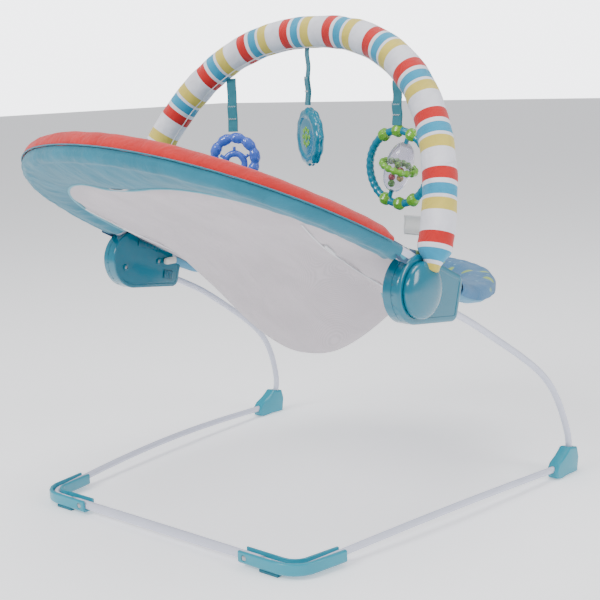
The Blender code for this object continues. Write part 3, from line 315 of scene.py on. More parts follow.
def make_weave_group():
    """Threads that cross: bumps along two slanted directions and a little fuzz."""
    tree, given, place = new_group("woven cloth", (("Threads per metre", 1400.0), ("Fuzz", 0.35)))
    x, y, z = add_node(tree, "SeparateXYZ", Vector=place).outputs
    slant = math_node(tree, "MULTIPLY", z, 0.8)
    uneven = add_node(tree, "TexNoise", Vector=place, Scale=160.0).outputs[0]
    shift = math_node(tree, "MULTIPLY", uneven, 5.0)
    waves = []
    for kind, distance in (("ADD", x), ("SUBTRACT", y)):
        threads = math_node(tree, "MULTIPLY", math_node(tree, kind, distance, slant), given[0])
        turned_by = math_node(tree, "MULTIPLY", math_node(tree, "ADD", threads, shift), math.pi)
        waves.append(math_node(tree, "SINE", turned_by))
    half = math_node(tree, "MULTIPLY", math_node(tree, "MULTIPLY", *waves), 0.5)
    grain = add_node(tree, "TexNoise", Vector=place, Scale=900.0, Detail=3.0).outputs[0]
    height = math_node(tree, "ADD", half, math_node(tree, "MULTIPLY", grain, given[1]))
    return give_out(tree, height, math_node(tree, "MULTIPLY_ADD", half, 0.5, 0.5))


def make_peel_group():
    """The faint unevenness of moulded plastic and of powder coat."""
    tree, given, place = new_group("orange peel", (("Size per metre", 260.0), ("Speckle", 0.25)))
    broad = add_node(tree, "TexNoise", Vector=place, Scale=given[0], Detail=2.0).outputs[0]
    fine = add_node(tree, "TexNoise", Vector=place, Scale=1900.0).outputs[0]
    large = add_node(tree, "TexNoise", Vector=place, Scale=26.0, Detail=4.0).outputs[0]
    height = math_node(tree, "ADD", broad, math_node(tree, "MULTIPLY", fine, given[1]))
    return give_out(tree, height, large)


def make_fold_group():
    """Long soft creases in hanging or stretched cloth. The cloths also use its mask to paint shade into the
    creases and light onto the ridges.
    """
    tree, given, place = new_group("soft folds", (("Folds per metre", 34.0), ("Stretch", 0.25)))
    sizes = add_node(tree, "CombineXYZ", X=1.0, Y=given[1], Z=0.7).outputs[0]
    longer = math_node(tree, "MULTIPLY", place, sizes, family="VectorMath")
    crease = add_node(tree, "TexNoise", Vector=longer, Scale=given[0], Detail=5.0, Roughness=0.55,
                      Distortion=0.6).outputs[0]
    return give_out(tree, crease, crease)


WEAVE, PEEL, FOLDS = make_weave_group(), make_peel_group(), make_fold_group()
print("node groups:", WEAVE.name, "|", PEEL.name, "|", FOLDS.name)

# %% [markdown]
# One short recipe builds every finish: a Principled shader, one or two groups, a Bump node and a
# colour that varies a little with the group's mask. On cloth that mask is the folds' mask, so its colour
# holds painted shade in the creases and painted light on the ridges. Colours are linear values. What is the
# same all over the surface, such as sheen or coat, is set on the shader's own sockets.

# %% The recipe for a finish


def placed_group(tree, group, *values):
    """A group in a material's tree, with its sizes. Gives back its height and its mask."""
    node = tree.nodes.new("ShaderNodeGroup")
    node.node_tree = group
    for socket, value in zip(node.inputs, values):
        socket.default_value = value
    return node.outputs[0], node.outputs[1]


def varied(tree, mask, colour, change):
    """The colour, darker or lighter by change where the mask is low or high."""
    ramp = tree.nodes.new("ShaderNodeValToRGB")
    steps = ((0.3, 1 - change), (0.7, 1 + change))
    for element, (position, factor) in zip(ramp.color_ramp.elements, steps):
        element.position = position
        element.color = (*(min(part * factor, 1.0) for part in colour), 1.0)
    tree.links.new(mask, ramp.inputs[0])
    return ramp.outputs[0]


def bumped(tree, heights, shader):
    """Bump nodes in a row, one for each (height socket, strength, distance in metres)."""
    normal = None
    for height, strength, distance in heights:
        bump = add_node(tree, "Bump", Strength=strength, Distance=distance, Height=height)
        if normal:
            tree.links.new(normal, bump.inputs["Normal"])
        normal = bump.outputs[0]
    tree.links.new(normal, shader.inputs["Normal"])


def finish(name, roughness, **sockets):
    """A new material, its tree and its shader, with plain values on the sockets named."""
    material = bpy.data.materials.new(name)
    material.use_nodes = True
    shader = material.node_tree.nodes["Principled BSDF"]
    shader.inputs["Roughness"].default_value = roughness
    for label, value in sockets.items():
        shader.inputs[label.replace("_", " ")].default_value = value
    return material, material.node_tree, shader


def hard(name, colour, roughness, change, peel, bump, **sockets):
    """A hard finish: peel is (size, speckle) and bump is (strength, distance)."""
    material, tree, shader = finish(name, roughness, **sockets)
    height, mask = placed_group(tree, PEEL, *peel)
    tree.links.new(varied(tree, mask, colour, change), shader.inputs["Base Color"])
    bumped(tree, [(height, *bump)], shader)
    return material


def plastic(name, colour, roughness=0.22, coat=0.35, change=0.05, **sockets):
    """Glossy moulded plastic."""
    return hard(name, colour, roughness, change, (260.0, 0.25), (0.12, 0.0002), Coat_Weight=coat,
                Coat_Roughness=0.08, **sockets)


def woven(name, roughness, sheen, weave, folds, base, shade, bumps):
    """A cloth: base(tree, weave mask) gives its colour, and shade is (colour, change) of the shade and light
    painted along its folds.
    """
    material, tree, shader = finish(name, roughness, Sheen_Weight=sheen[0], Sheen_Roughness=sheen[1])
    weave_height, weave_mask = placed_group(tree, WEAVE, *weave)
    fold_height, fold_shade_mask = placed_group(tree, FOLDS, *folds)
    # the fold mask paints shade into the creases and light onto the ridges of the cloth's colour
    mixed = add_node(
        tree, "Mix", [("data_type", "RGBA"), ("blend_type", "MULTIPLY")], Factor=1.0,
        A=base(tree, weave_mask), B=varied(tree, fold_shade_mask, *shade),
    )
    tree.links.new(mixed.outputs["Result"], shader.inputs["Base Color"])
    bumped(tree, [(fold_height, *bumps[0]), (weave_height, *bumps[1])], shader)
    return material


def cloth(name, colour, threads, folds, crease, change, paint=None):
    """Woven cloth in a plain colour, or with a print: paint(tree, mask) gives a colour socket. change is how
    strongly shade and light are painted along its folds.
    """
    base = paint or (lambda tree, mask: varied(tree, mask, colour, 0.06))
    return woven(name, 0.85, (0.25, 0.5), (threads, 0.35), (folds, 0.3), base,
                 ((1 - change,) * 3, change), ((0.55, crease * 4), (0.5, 0.00025)))


TEAL = (0.0005, 0.150, 0.225)
TEAL_LIGHT = (0.002, 0.270, 0.370)
LIME = (0.16, 0.42, 0.025)
SKIN_TEAL = (0.012, 0.190, 0.280)
WHITE = (0.78, 0.78, 0.85)
RED = (0.58, 0.004, 0.003)
YELLOW = (0.66, 0.53, 0.085)
BLUE = (0.012, 0.30, 0.50)
print("the recipe is ready")

# %% [markdown]
# Now the finishes of this bouncer. The wires carry a glossy grey-white powder coat. The hubs and feet are
# glossy teal plastic. The toys mix opaque plastic, a see-through ring and a clear shell.

# %% Finishes of wires, hubs, feet and toys
WIRE_PAINT = hard("wire_paint", (0.64, 0.66, 0.78), 0.30, 0.035, (420.0, 0.5), (0.2, 0.00012),
                  Coat_Weight=0.25, Coat_Roughness=0.15)
STEEL = hard("screw_steel", (0.42, 0.42, 0.44), 0.35, 0.15, (900.0, 0.6), (0.3, 0.0001), Metallic=1.0)
HUB_PLASTIC = plastic("hub_plastic", TEAL, 0.20, 0.5)
# darker teal: on the hub clamps, and as painted shade on the plates in each hub's slot and window
HUB_DARK_AND_PAINTED_SHADE = plastic("hub_dark_and_recess_shade", (0.006, 0.11, 0.17), 0.45, 0.1)
FOOT_PLASTIC = plastic("foot_plastic", TEAL_LIGHT, 0.30, 0.3)
GRIP_RUBBER = plastic("grip_rubber", (0.012, 0.14, 0.20), 0.7, 0.0, 0.15)
HOOK_WHITE = plastic("hook_white", (0.72, 0.72, 0.66), 0.4, 0.1)
BUCKLE_GREY = plastic("buckle_grey", (0.25, 0.27, 0.31), 0.35, 0.2)
RATTLE_TEAL = plastic("rattle_teal", (0.002, 0.21, 0.32), 0.2, 0.5)
LIME_PLASTIC = plastic("lime_plastic", LIME, 0.25, 0.4)
TEETHER_BLUE = plastic("teether_blue", (0.10, 0.20, 0.78), 0.12, 0.4, 0.03, IOR=1.42,
                       Transmission_Weight=0.45)
CLEAR_SHELL = plastic("clear_shell", (0.88, 0.86, 0.94), 0.04, 0.2, 0.01, IOR=1.25,
                      Transmission_Weight=0.95)
RED_BEAD = plastic("red_bead", (0.55, 0.02, 0.01), 0.25)
YELLOW_BEAD = plastic("yellow_bead", (0.75, 0.52, 0.10), 0.25)
print("hard finishes:", len(bpy.data.materials))

# %% [markdown]
# Every soft piece here follows the two seat tubes, so their lines come first. The seat-back tube is a
# rounded arch that slopes up towards the head, and the leg-rest tube is half an oval that dips a little
# towards the feet. Between them hangs the sling: its depth under the tubes is greatest below the hips.

# %% The lines that the fabric follows
HUB = Vector((0.0, 0.0415, 0.268))
BACK_SLOPE = math.radians(26.3)
BACK_NORMAL = Vector((0, -math.sin(BACK_SLOPE), math.cos(BACK_SLOPE)))
BACK_START = Vector((0.0, 0.0605, 0.308))  # where the seat-back tube leaves the hubs
LEG_START = Vector((0.0, -0.0365, 0.257))  # where the leg-rest tube does
LEG_MIDDLE_Y = 0.0365
LEG_LONG = 0.327
RAIL_HALF = 0.219
PIPE_HALF = 0.1945
PANEL_LONG = 0.178


def arch(turn, half, reach, roundness):
    """A rounded arch in its own plane: x and distance up the slope, turn from 0 to 180 degrees."""
    a = math.radians(min(max(turn, 0.0), 180.0))
    wide = math.copysign(abs(math.cos(a)) ** (2 / roundness), math.cos(a))
    return wide * half, abs(math.sin(a)) ** (2 / roundness) * reach


def back_rail(turn):
    x, up = arch(turn, RAIL_HALF, 0.258, 2.05)
    return BACK_START + Vector((x, up * math.cos(BACK_SLOPE), up * math.sin(BACK_SLOPE)))


def leg_height(y):
    return 0.2295 + 0.0275 * math.exp((y - LEG_START.y) / 0.055)


def leg_rail(turn):
    """The leg-rest tube, turn from 0 at the left hub to 180 at the right one."""
    start = math.degrees(math.asin(0.062 / LEG_LONG))
    b = math.radians(start + (180 - 2 * start) * turn / 180)
    y = LEG_MIDDLE_Y - LEG_LONG * math.sin(b)
    return Vector((RAIL_HALF * math.cos(b), y, leg_height(y)))


def rail_height(y):
    if y >= BACK_START.y:
        return BACK_START.z + (y - BACK_START.y) * math.tan(BACK_SLOPE)
    if y <= LEG_START.y:
        return leg_height(y)
    share = (y - LEG_START.y) / (BACK_START.y - LEG_START.y)
    return LEG_START.z + (BACK_START.z - LEG_START.z) * share


def half_width(y, half, reach):
    """Half the width of the panel between the borders."""
    if y > BACK_START.y:
        return half * max(1 - ((y - BACK_START.y) / reach) ** 2.2, 0.0) ** (1 / 2.2)
    if y > LEG_MIDDLE_Y:
        return half
    return half * math.sqrt(max(1 - ((LEG_MIDDLE_Y - y) / 0.297) ** 2, 0.0))


def sling_height(x, y):
    """Height of the hanging sling at a place in plan."""
    spread = 0.100 if y > -0.030 else 0.080
    pocket_depth = 0.083 * math.exp(-(((y + 0.030) / spread) ** 2))
    share = min(abs(x) / max(half_width(y, 0.1965, 0.1805), 0.02), 1.0)
    middle = 1 - min(share / 0.64, 1.0) ** 2.2
    return rail_height(y) - 0.012 * (1 - share ** 4) - pocket_depth * middle


def rail_frame(rail, turn, normal=None):
    """Centre, outward and upward directions across a rail."""
    here = rail(turn)
    along = (rail(min(turn + 0.6, 180)) - rail(max(turn - 0.6, 0))).normalized()
    up = normal or UP
    outward = along.cross(up).normalized()
    if outward.dot(here - Vector((0, 0.02, here.z))) < 0:
        outward = -outward
    up = outward.cross(along).normalized()
    if up.z < 0:
        up = -up
    return here, outward, up


for label, rail in (("seat-back", back_rail), ("leg-rest", leg_rail)):
    print(label, "tube reaches", [round(part, 3) for part in rail(90)])

# %% [markdown]
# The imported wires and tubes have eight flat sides, which is enough for contact but not for looks. A copy
# is merged, pushed out a little and given two levels of subdivision: its eight sides close up to a round
# bar of the true thickness. Moulded blocks such as the feet are merged and bevelled instead.

# %% Round wires and bevelled mouldings


def copy_of(node):
    """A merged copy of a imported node's mesh."""
    bm = bmesh.new()
    bm.from_mesh(NODES[node].data)
    settle(bm)
    return bm


def round_copy(node, radius, material, slot):
    """A round bar in place of an eight-sided one."""
    bm = copy_of(node)
    bmesh.ops.join_triangles(bm, faces=bm.faces, angle_face_threshold=0.2, angle_shape_threshold=0.8)
    bm.normal_update()
    for vert in bm.verts:
        vert.co += vert.normal * radius * 0.105
    return finish_piece(f"{node}_round", bm, material, BODY_OF[node], (node,), slot, 0, 2)


def bevelled_copy(node, width, material, slot, sharp=35):
    """A moulding with softened edges in place of a sharp one."""
    bm = copy_of(node)
    bmesh.ops.dissolve_limit(bm, angle_limit=math.radians(1.5), verts=bm.verts, edges=bm.edges)
    edges = [e for e in bm.edges if len(e.link_faces) == 2 and e.calc_face_angle(0) > math.radians(28)]
    bmesh.ops.bevel(
        bm, geom=edges, offset=width, segments=3, affect="EDGES", profile=0.5, material=-1,
        clamp_overlap=True,
    )
    bmesh.ops.triangulate(bm, faces=[f for f in bm.faces if len(f.verts) > 4])
    return finish_piece(f"{node}_moulded", bm, material, BODY_OF[node], (node,), slot, sharp)


BODY_OF = {
    node: body for body, nodes in frame["record"]["behaviour"]["bodies"].items() for node in nodes
}
for side, _ in SIDES:
    round_copy(f"floor_wire_{side}", 0.004, WIRE_PAINT, "wire_paint")
    round_copy(f"leg_wire_{side}", 0.004, WIRE_PAINT, "wire_paint")
    bevelled_copy(f"front_foot_{side}", 0.0014, FOOT_PLASTIC, "foot_plastic")
    bevelled_copy(f"rear_foot_{side}", 0.0012, FOOT_PLASTIC, "foot_plastic")
    bevelled_copy(f"cover_hook_{side}", 0.0008, HOOK_WHITE, "hook_white")
    bevelled_copy(f"bar_arm_{side}", 0.0008, HUB_PLASTIC, "hub_plastic")
round_copy("rear_cross_tube", 0.005, WIRE_PAINT, "wire_paint")
round_copy("seat_back_tube", 0.0075, WIRE_PAINT, "wire_paint")
round_copy("leg_rest_tube", 0.0075, WIRE_PAINT, "wire_paint")
made = [piece for piece in bpy.data.objects if piece.name.endswith(("_round", "_moulded"))]
print("frame pieces replaced:", len(made))

# %% [markdown]
# Each hub is two thin half shells that close over the tubes. An outline with a round rear end and a
# blunter front end is drawn once as a face, extruded to the shell's thickness, and bevelled. A small inset
# on the outer face leaves the stepped edge of the moulding. The dome over the toy bar's pivot is turned.

# %% Hub shells and domes


HUB_TILT = math.radians(16)
SCREW_WELLS = ((-0.015, -0.0126), (0.038, 0.0025))
LIP = 0.0006  # depth of the step in a shell's face


def on_hub(u, v, x):
    """A matrix whose X runs along the hub, Y up its face and Z outwards. It moves to the point of the hub
    that lies u towards its front end and v upwards, both in its tilted plane."""
    axes = Matrix((
        (0, 0, 1), (-math.cos(HUB_TILT), -math.sin(HUB_TILT), 0),
        (-math.sin(HUB_TILT), math.cos(HUB_TILT), 0),
    ))
    place = axes @ Vector((u, v, 0)) + Vector((x, HUB.y, HUB.z))
    return Matrix.Translation(place) @ axes.to_4x4()


def hub_point(u, v, x):
    return on_hub(u, v, x).translation


def hub_outline():
    """The hub's outline in u and v: a half circle behind, straight sides and a blunt front."""
    radius, front, half, corner = 0.0365, 0.0765, 0.0262, 0.010
    lean = math.asin((radius - half) / front)
    points = []
    for i in range(41):
        a = math.pi / 2 - lean * 0.6 + (math.pi + lean * 1.2) * i / 40
        points.append((math.cos(a) * radius, math.sin(a) * radius))
    for end in (-1, 1):
        for i in range(9):
            a = math.radians(-90 * (1 - i / 8) if end < 0 else 90 * i / 8)
            points.append((front - corner + corner * math.cos(a),
                           end * (half - corner) + corner * math.sin(a)))
    return points


def hub_shell(name, node, x_in, x_out, sign, edge):
    """One half shell, from x_in to the visible face at x_out, whose rim is rounded by edge."""
    bm = bmesh.new()
    face = bm.faces.new([bm.verts.new(hub_point(u, v, sign * x_in)) for u, v in hub_outline()])
    made = bmesh.ops.extrude_face_region(bm, geom=[face])["geom"]
    moved = [item for item in made if isinstance(item, bmesh.types.BMVert)]
    bmesh.ops.translate(bm, verts=moved, vec=Vector((sign * (x_out - x_in), 0, 0)))
    far = next(f for f in bm.faces if all(abs(abs(v.co.x) - x_out) < 1e-6 for v in f.verts))
    bmesh.ops.bevel(
        bm, geom=list(far.edges), offset=edge, segments=6, affect="EDGES", profile=0.55, material=-1
    )
    facing_out = [f for f in bm.faces if abs(abs(f.calc_center_median().x) - x_out) < 1e-5]
    far = max(facing_out, key=lambda f: f.calc_area())
    bmesh.ops.inset_region(bm, faces=[far], thickness=0.0022, depth=0.0)
    bmesh.ops.inset_region(bm, faces=[far], thickness=LIP, depth=-LIP)
    bmesh.ops.recalc_face_normals(bm, faces=bm.faces)
    finish_piece(name, bm, HUB_PLASTIC, BODY_OF[node], (node,), "hub_plastic", 30)


def make_dome(side, sign):
    """A shallow glossy cap with a rolled edge."""
    base, shoulder, top, radius = 0.2296, 0.2338, 0.2426, 0.0302
    rim = radius - 0.0004
    profile = [(0.0295, base), (rim, base), (radius, base + 0.0010), (rim, shoulder)]
    for i in range(1, 15):
        a = math.pi / 2 * i / 14
        profile.append((rim * math.cos(a) ** 0.9, shoulder + (top - shoulder) * math.sin(a)))
    node = f"bar_dome_{side}"
    finish_piece(f"dome_cap_{side}", spun(profile, HUB, (sign, 0, 0), 96), HUB_PLASTIC, BODY_OF[node],
                 (node,), "hub_plastic", 35)


def block(size, matrix):
    """A small bevelled block, set in place by a matrix."""
    bm = bmesh.new()
    bmesh.ops.create_cube(bm, size=1.0)
    bmesh.ops.transform(bm, matrix=Matrix.Diagonal((*size, 1.0)), verts=bm.verts)
    bmesh.ops.bevel(
        bm, geom=list(bm.edges), offset=0.0004, segments=2, affect="EDGES", profile=0.5, material=-1
    )
    bmesh.ops.transform(bm, matrix=matrix, verts=bm.verts)
    return bm


def hub_details(side, sign):
    """What is moulded into a hub's inner face: two screw wells, a ribbed slot and a hatched window. The slot
    and the window are dark plates of painted shade under their ribs.
    """
    face = sign * 0.2069
    ring = [(0.0022, -0.0004), (0.0022, 0.0005), (0.0027, 0.0009), (0.0036, 0.0007), (0.0040, -0.0006)]
    head = [(0.0, 0.0002), (0.0014, 0.0002), (0.0021, -0.0002), (0.0021, -0.0006), (0.0, -0.0006)]
    wells, screws = (
        [spun(profile, hub_point(u, v, face), (-sign, 0, 0), sides) for u, v in SCREW_WELLS]
        for profile, sides in ((ring, 32), (head, 24))
    )
    # the slot and the window are thin dark plates: painted shade for the hollows behind the ribs
    shade_plates = [block((0.0360, 0.0100, LIP), on_hub(0.0170, 0.0215, face)),
              block((0.0150, 0.0110, LIP), on_hub(0.0570, -0.0120, face))]
    ribs = [block((0.0012, 0.0085, 0.0012), on_hub(0.002 + 0.006 * i, 0.0245 - 0.0012 * i, face))
            for i in range(6)]
    ribs += [block((0.0010, 0.0100, 0.0012), on_hub(0.0515 + 0.0028 * i, -0.0120, face))
             for i in range(5)]
    for name, parts, material, slot in (
        ("wells", wells, HUB_PLASTIC, "hub_plastic"), ("well_screws", screws, STEEL, "screw_steel"),
        ("recesses", shade_plates, HUB_DARK_AND_PAINTED_SHADE, "hub_plastic"), ("ribs", ribs, HUB_PLASTIC, "hub_plastic"),
    ):
        finish_piece(f"hub_{name}_{side}", joined(parts), material, "seat", (), slot, 35)


for side, sign in SIDES:
    hub_details(side, sign)
    hub_shell(f"hub_cover_{side}", f"hub_outer_{side}", 0.2192, 0.2292, sign, 0.0042)
    hub_shell(f"hub_back_{side}", f"hub_inner_{side}", 0.2188, 0.2075, sign, 0.0018)
    make_dome(side, sign)

# %% [markdown]
# The seat's cover is sewn from several cloths. A soft white mesh makes the hanging pocket. Teal cloth is
# stretched round the seat-back tube, a padded red band crowns it, and pale blue cloth wraps the leg tube.
# Each is a bent sheet: a grid whose rows follow the tube's line. Threads, creases with their painted shade
# and light, and printed spots are in the cloth's material, while seams and piping are real pieces, because
# they catch the light.

# %% Cloth finishes


def scattered(tree, scale, keep, soft, seed):
    """A mask of small spots: 1 inside a spot and 0 between them."""
    place = add_node(tree, "TexCoord").outputs["Object"]
    moved = add_node(tree, "Mapping", Location=(seed, seed * 0.7, seed * 1.3), Vector=place).outputs[0]
    cells = add_node(tree, "TexVoronoi", Scale=scale, Randomness=0.75, Vector=moved).outputs["Distance"]
    ramp = add_node(tree, "MapRange", [("interpolation_type", "SMOOTHSTEP")], Value=cells,
                    From_Min=keep + soft, From_Max=keep - soft)
    return ramp.outputs[0]


def printed(ground, *layers):
    """A print: spots over a ground colour. Each layer is (scale, size, softness, seed, colour)."""
    def paint(tree, mask):
        under = ground
        for scale, keep, soft, seed, colour in layers:
            spots = scattered(tree, scale, keep, soft, seed)
            mixed = add_node(tree, "Mix", [("data_type", "RGBA")], Factor=spots, A=under, B=colour)
            under = mixed.outputs["Result"]
        return under
    return paint


RED_DOTS = printed(RED, (30.0, 0.045, 0.008, 0.3, (0.85, 0.72, 0.66)))
DARK_LEAVES = printed(
    (0.012, 0.075, 0.16), (26.0, 0.30, 0.03, 0.9, (0.30, 0.42, 0.10)),
    (34.0, 0.22, 0.02, 2.1, (0.03, 0.34, 0.46)), (80.0, 0.14, 0.03, 4.4, (0.66, 0.70, 0.55)),
)
PALE_LEAVES = printed(
    (0.035, 0.24, 0.36), (21.0, 0.34, 0.02, 1.7, (0.12, 0.46, 0.56)),
    (31.0, 0.20, 0.02, 3.2, (0.34, 0.50, 0.12)), (74.0, 0.13, 0.03, 5.0, (0.75, 0.75, 0.62)),
)
BLUE_LEAVES = printed(
    (0.008, 0.150, 0.330), (24.0, 0.24, 0.02, 0.4, (0.30, 0.46, 0.06)),
    (60.0, 0.12, 0.02, 2.6, (0.16, 0.42, 0.60)),
)


def bar_stripes(tree, mask):
    """The toy bar's repeating bands, which follow the distance along it."""
    bands = (
        (0.0, RED), (0.187, WHITE), (0.515, YELLOW), (0.701, WHITE), (0.754, BLUE), (0.925, WHITE),
    )
    along = add_node(tree, "Attribute", [("attribute_name", "along")]).outputs["Fac"]
    turns = math_node(tree, "DIVIDE", math_node(tree, "ADD", along, STRIPE_ROW - STRIPE_START), STRIPE_ROW)
    ramp = tree.nodes.new("ShaderNodeValToRGB")
    ramp.color_ramp.interpolation = "CONSTANT"
    while len(ramp.color_ramp.elements) < len(bands):
        ramp.color_ramp.elements.new(0.5)
    for element, (start, colour) in zip(ramp.color_ramp.elements, bands):
        element.position = start
        element.color = (*colour, 1.0)
    tree.links.new(math_node(tree, "FRACT", turns), ramp.inputs[0])
    return ramp.outputs[0]


STRIPE_ROW = 0.067  # one row of stripes
STRIPE_START = 0.0268
MESH_CLOTH = woven(  # thin knitted mesh, seen as a fine grain
    "sling_mesh", 0.8, (0.3, 0.4), (1900.0, 0.2), (26.0, 0.35),
    lambda tree, mask: varied(tree, mask, (0.60, 0.55, 0.57), 0.10),
    # painted fold shade on a faint pink tint, darker in the creases and lighter on the ridges
    ((0.93, 0.91, 0.93), 0.06), ((0.7, 0.006), (0.6, 0.0003)),
)
# In each cloth below, change (the number after the crease depth) sets how much shade and light are painted
# along the folds.
SKIN_CLOTH = cloth("cover_teal", SKIN_TEAL, 1600.0, 30.0, 0.0016, 0.12)
LEG_CLOTH = cloth("leg_cloth", (0.10, 0.36, 0.56), 1600.0, 40.0, 0.0012, 0.10)
RED_CLOTH = cloth("rim_red", RED, 1500.0, 55.0, 0.0014, 0.10, RED_DOTS)
LEAF_CLOTH = cloth("pad_print", TEAL, 1500.0, 45.0, 0.0014, 0.10, DARK_LEAVES)
LEG_PRINT = cloth("leg_rest_print", TEAL, 1500.0, 40.0, 0.0014, 0.10, BLUE_LEAVES)
SEAT_CLOTH = cloth("seat_print", TEAL, 1500.0, 30.0, 0.0016, 0.10, PALE_LEAVES)
PIPING_CLOTH = cloth("piping_cloth", (0.12, 0.40, 0.50), 2200.0, 80.0, 0.0006, 0.08)
WEBBING = cloth("strap_teal", (0.035, 0.23, 0.30), 2600.0, 60.0, 0.0005, 0.08)
BAR_CLOTH = cloth("bar_fabric", WHITE, 1800.0, 60.0, 0.0012, 0.08, bar_stripes)
TAG_CLOTH = cloth("tag_white", (0.72, 0.72, 0.70), 2600.0, 50.0, 0.0005, 0.05)
THREAD_WHITE = cloth("white_thread", (0.78, 0.78, 0.80), 3000.0, 60.0, 0.0002, 0.05)
THREAD_TEAL = cloth("teal_thread", (0.02, 0.18, 0.26), 3000.0, 60.0, 0.0002, 0.05)
print("cloths:", [material.name for material in (MESH_CLOTH, SKIN_CLOTH, RED_CLOTH, LEAF_CLOTH, BAR_CLOTH)])

# %% [markdown]
# The white pocket hangs between the borders. Its rows run across the seat from edge to edge, and each
# hangs as deep as the sling does there. Soft wrinkles fan out from the hub ends, where the cloth is
# gathered, and two sewn seams run down each side.

# %% The hanging mesh pocket


def pocket_wrinkle(x, y):
    """Wrinkles that run from the upper edge down towards the middle of the pocket."""
    edge = blend_in(0.25, 0.9, abs(x) / 0.2)
    ridge = noise.noise(Vector((x * 9.0, y * 34.0, 2.0))) * 0.0042 * (0.35 + edge)
    return ridge + noise.noise(Vector((x * 22.0, y * 18.0, 7.0))) * 0.0014


def pocket_place(u, v):
    foot, head = -0.252, BACK_START.y + 0.184 * 0.985
    y = foot + (head - foot) * v
    side = 2 * u - 1
    x = side * half_width(y, 0.2005, 0.184)
    calm = 1 - abs(side) ** 8
    return Vector((x, y, sling_height(x, y) - 0.0022 - 0.0016 * calm + pocket_wrinkle(x, y) * calm))


def seam_on_pocket(name, sign, plan, radius):
    """A sewn seam: a thin cord laid on the pocket's underside, through points given in plan."""
    points = [(sign * x, y) for x, y in plan]
    track = []
    for (x0, y0), (x1, y1) in zip(points, points[1:]):
        for i in range(14):
            x, y = x0 + (x1 - x0) * i / 14, y0 + (y1 - y0) * i / 14
            track.append(Vector((x, y, sling_height(x, y) - 0.0052)))
    return finish_piece(name, tube(track, radius, 8), THREAD_WHITE, "seat")


def sewn(name, bm, material, replaced, slot):
    """A soft piece of the seat, with one level of subdivision and no sharp edges."""
    return finish_piece(name, bm, material, "seat", replaced, slot, 0, 1)


def flat_area(piece):
    """The cloth's own area in square metres."""
    bm = bmesh.new()
    bm.from_mesh(piece.data)
    area = sum(face.calc_area() for face in bm.faces)
    bm.free()
    return area


def declare_sheet(piece, flat, held, rests_on, **more):
    """Say how large the piece's cloth is when it is laid flat. The argument for what holds it, held, is not
    used.
    """
    whole = flat[0] * flat[1]
    area = min(flat_area(piece), whole)
    print(piece.name, "has", round(area, 4), "square metres of the", round(whole, 4), "cut out for it")


pocket = sewn("mesh_pocket", bent_grid(72, 120, pocket_place), MESH_CLOTH, ("sling_mesh",), "sling_mesh")
SEAM_PLAN = ((0.166, 0.150), (0.150, 0.098), (0.141, 0.040), (0.138, -0.060), (0.120, -0.150))
seams = []
for side, sign in SIDES:
    seams.append(seam_on_pocket(f"pocket_seam_{side}", sign, SEAM_PLAN, 0.0009))
    seams.append(seam_on_pocket(f"pocket_slot_{side}", sign, ((0.156, 0.104), (0.150, 0.080)), 0.0016))
declare_sheet(pocket, (0.46, 0.60), "hung", ["back_skin_cloth", "leg_skin_cloth"], with_pieces=seams)

# %% [markdown]
# The teal cloth starts in a seam on top of the tube, runs round its outside and under it, and then spans
# in to the piping at the pocket's edge. A wrapped part and a straight part share one grid: the first half
# of each row is an arc, the second half a line. The cloth is stretched, so its creases are long and thin.

# %% The teal cloth round the seat-back tube
WRAPPED = 0.55  # the share of each row that lies round the tube


def piping_point(turn):
    x, up = arch(turn, PIPE_HALF, PANEL_LONG, 2.2)
    y = BACK_START.y + up
    return Vector((x, y, sling_height(x * 0.985, y) - 0.0030))


def skin_place(u, v):
    turn = 2.0 + 176.0 * v
    centre, outward, up = rail_frame(back_rail, turn, BACK_NORMAL)
    start, end = math.radians(24), math.radians(-112)
    a = start + (end - start) * min(u / WRAPPED, 1.0)
    ripple = noise.noise(Vector((turn * 0.22, u * 5.0, 1.0))) * 0.0011
    ripple += noise.noise(Vector((turn * 0.9, u * 2.0, 5.0))) * 0.0005
    radius = 0.0099 + ripple * blend_in(0.05, 0.3, u)
    point = centre + (outward * math.cos(a) + up * math.sin(a)) * radius
    if u > WRAPPED:
        far = (u - WRAPPED) / (1 - WRAPPED)
        belly = math.sin(math.pi * far)
        point = point.lerp(piping_point(turn), far)
        point += BACK_NORMAL * (-0.0025 * belly + ripple * 1.6 * belly)
    return point


back_skin = sewn("back_skin_cloth", bent_grid(30, 190, skin_place), SKIN_CLOTH,
                 ("back_cover_sleeve", "underside_border_left", "underside_border_right"), "cover_teal")
piping = finish_piece("back_piping", tube([piping_point(2 + 176 * i / 120) for i in range(121)], 0.0016, 10),
                      PIPING_CLOTH, "seat", sharp=0)
declare_sheet(back_skin, (0.11, 0.80), "stretched", ["seat_back_tube_round"], with_pieces=[piping])


def leg_skin_place(u, v):
    turn = 180.0 * v
    centre, outward, up = rail_frame(leg_rail, turn)
    a = math.radians(185 + 350 * u)
    crease = noise.noise(Vector((turn * 0.35, math.cos(a) * 1.5, math.sin(a) * 1.5))) * 0.0009
    return centre + (outward * math.cos(a) + up * math.sin(a)) * (0.0101 + crease)


leg_skin = sewn("leg_skin_cloth", bent_grid(20, 220, leg_skin_place), LEG_CLOTH, ("leg_cover_sleeve",),
                "cover_teal")
declare_sheet(leg_skin, (0.066, 0.86), "stretched", ["leg_rest_tube_round"])

# %% [markdown]
# Over the leg tube lies the printed top of the leg rest: one more stretched sheet, which starts at the
# tube's outer side, goes over it and slopes in to the cushions. A dark printed flap on each side bridges
# the gap over the hub between the red band and the leg rest.

# %% Printed leg-rest top and the two side flaps
OVER_TUBE = 0.4  # the share of each row that lies over the tube


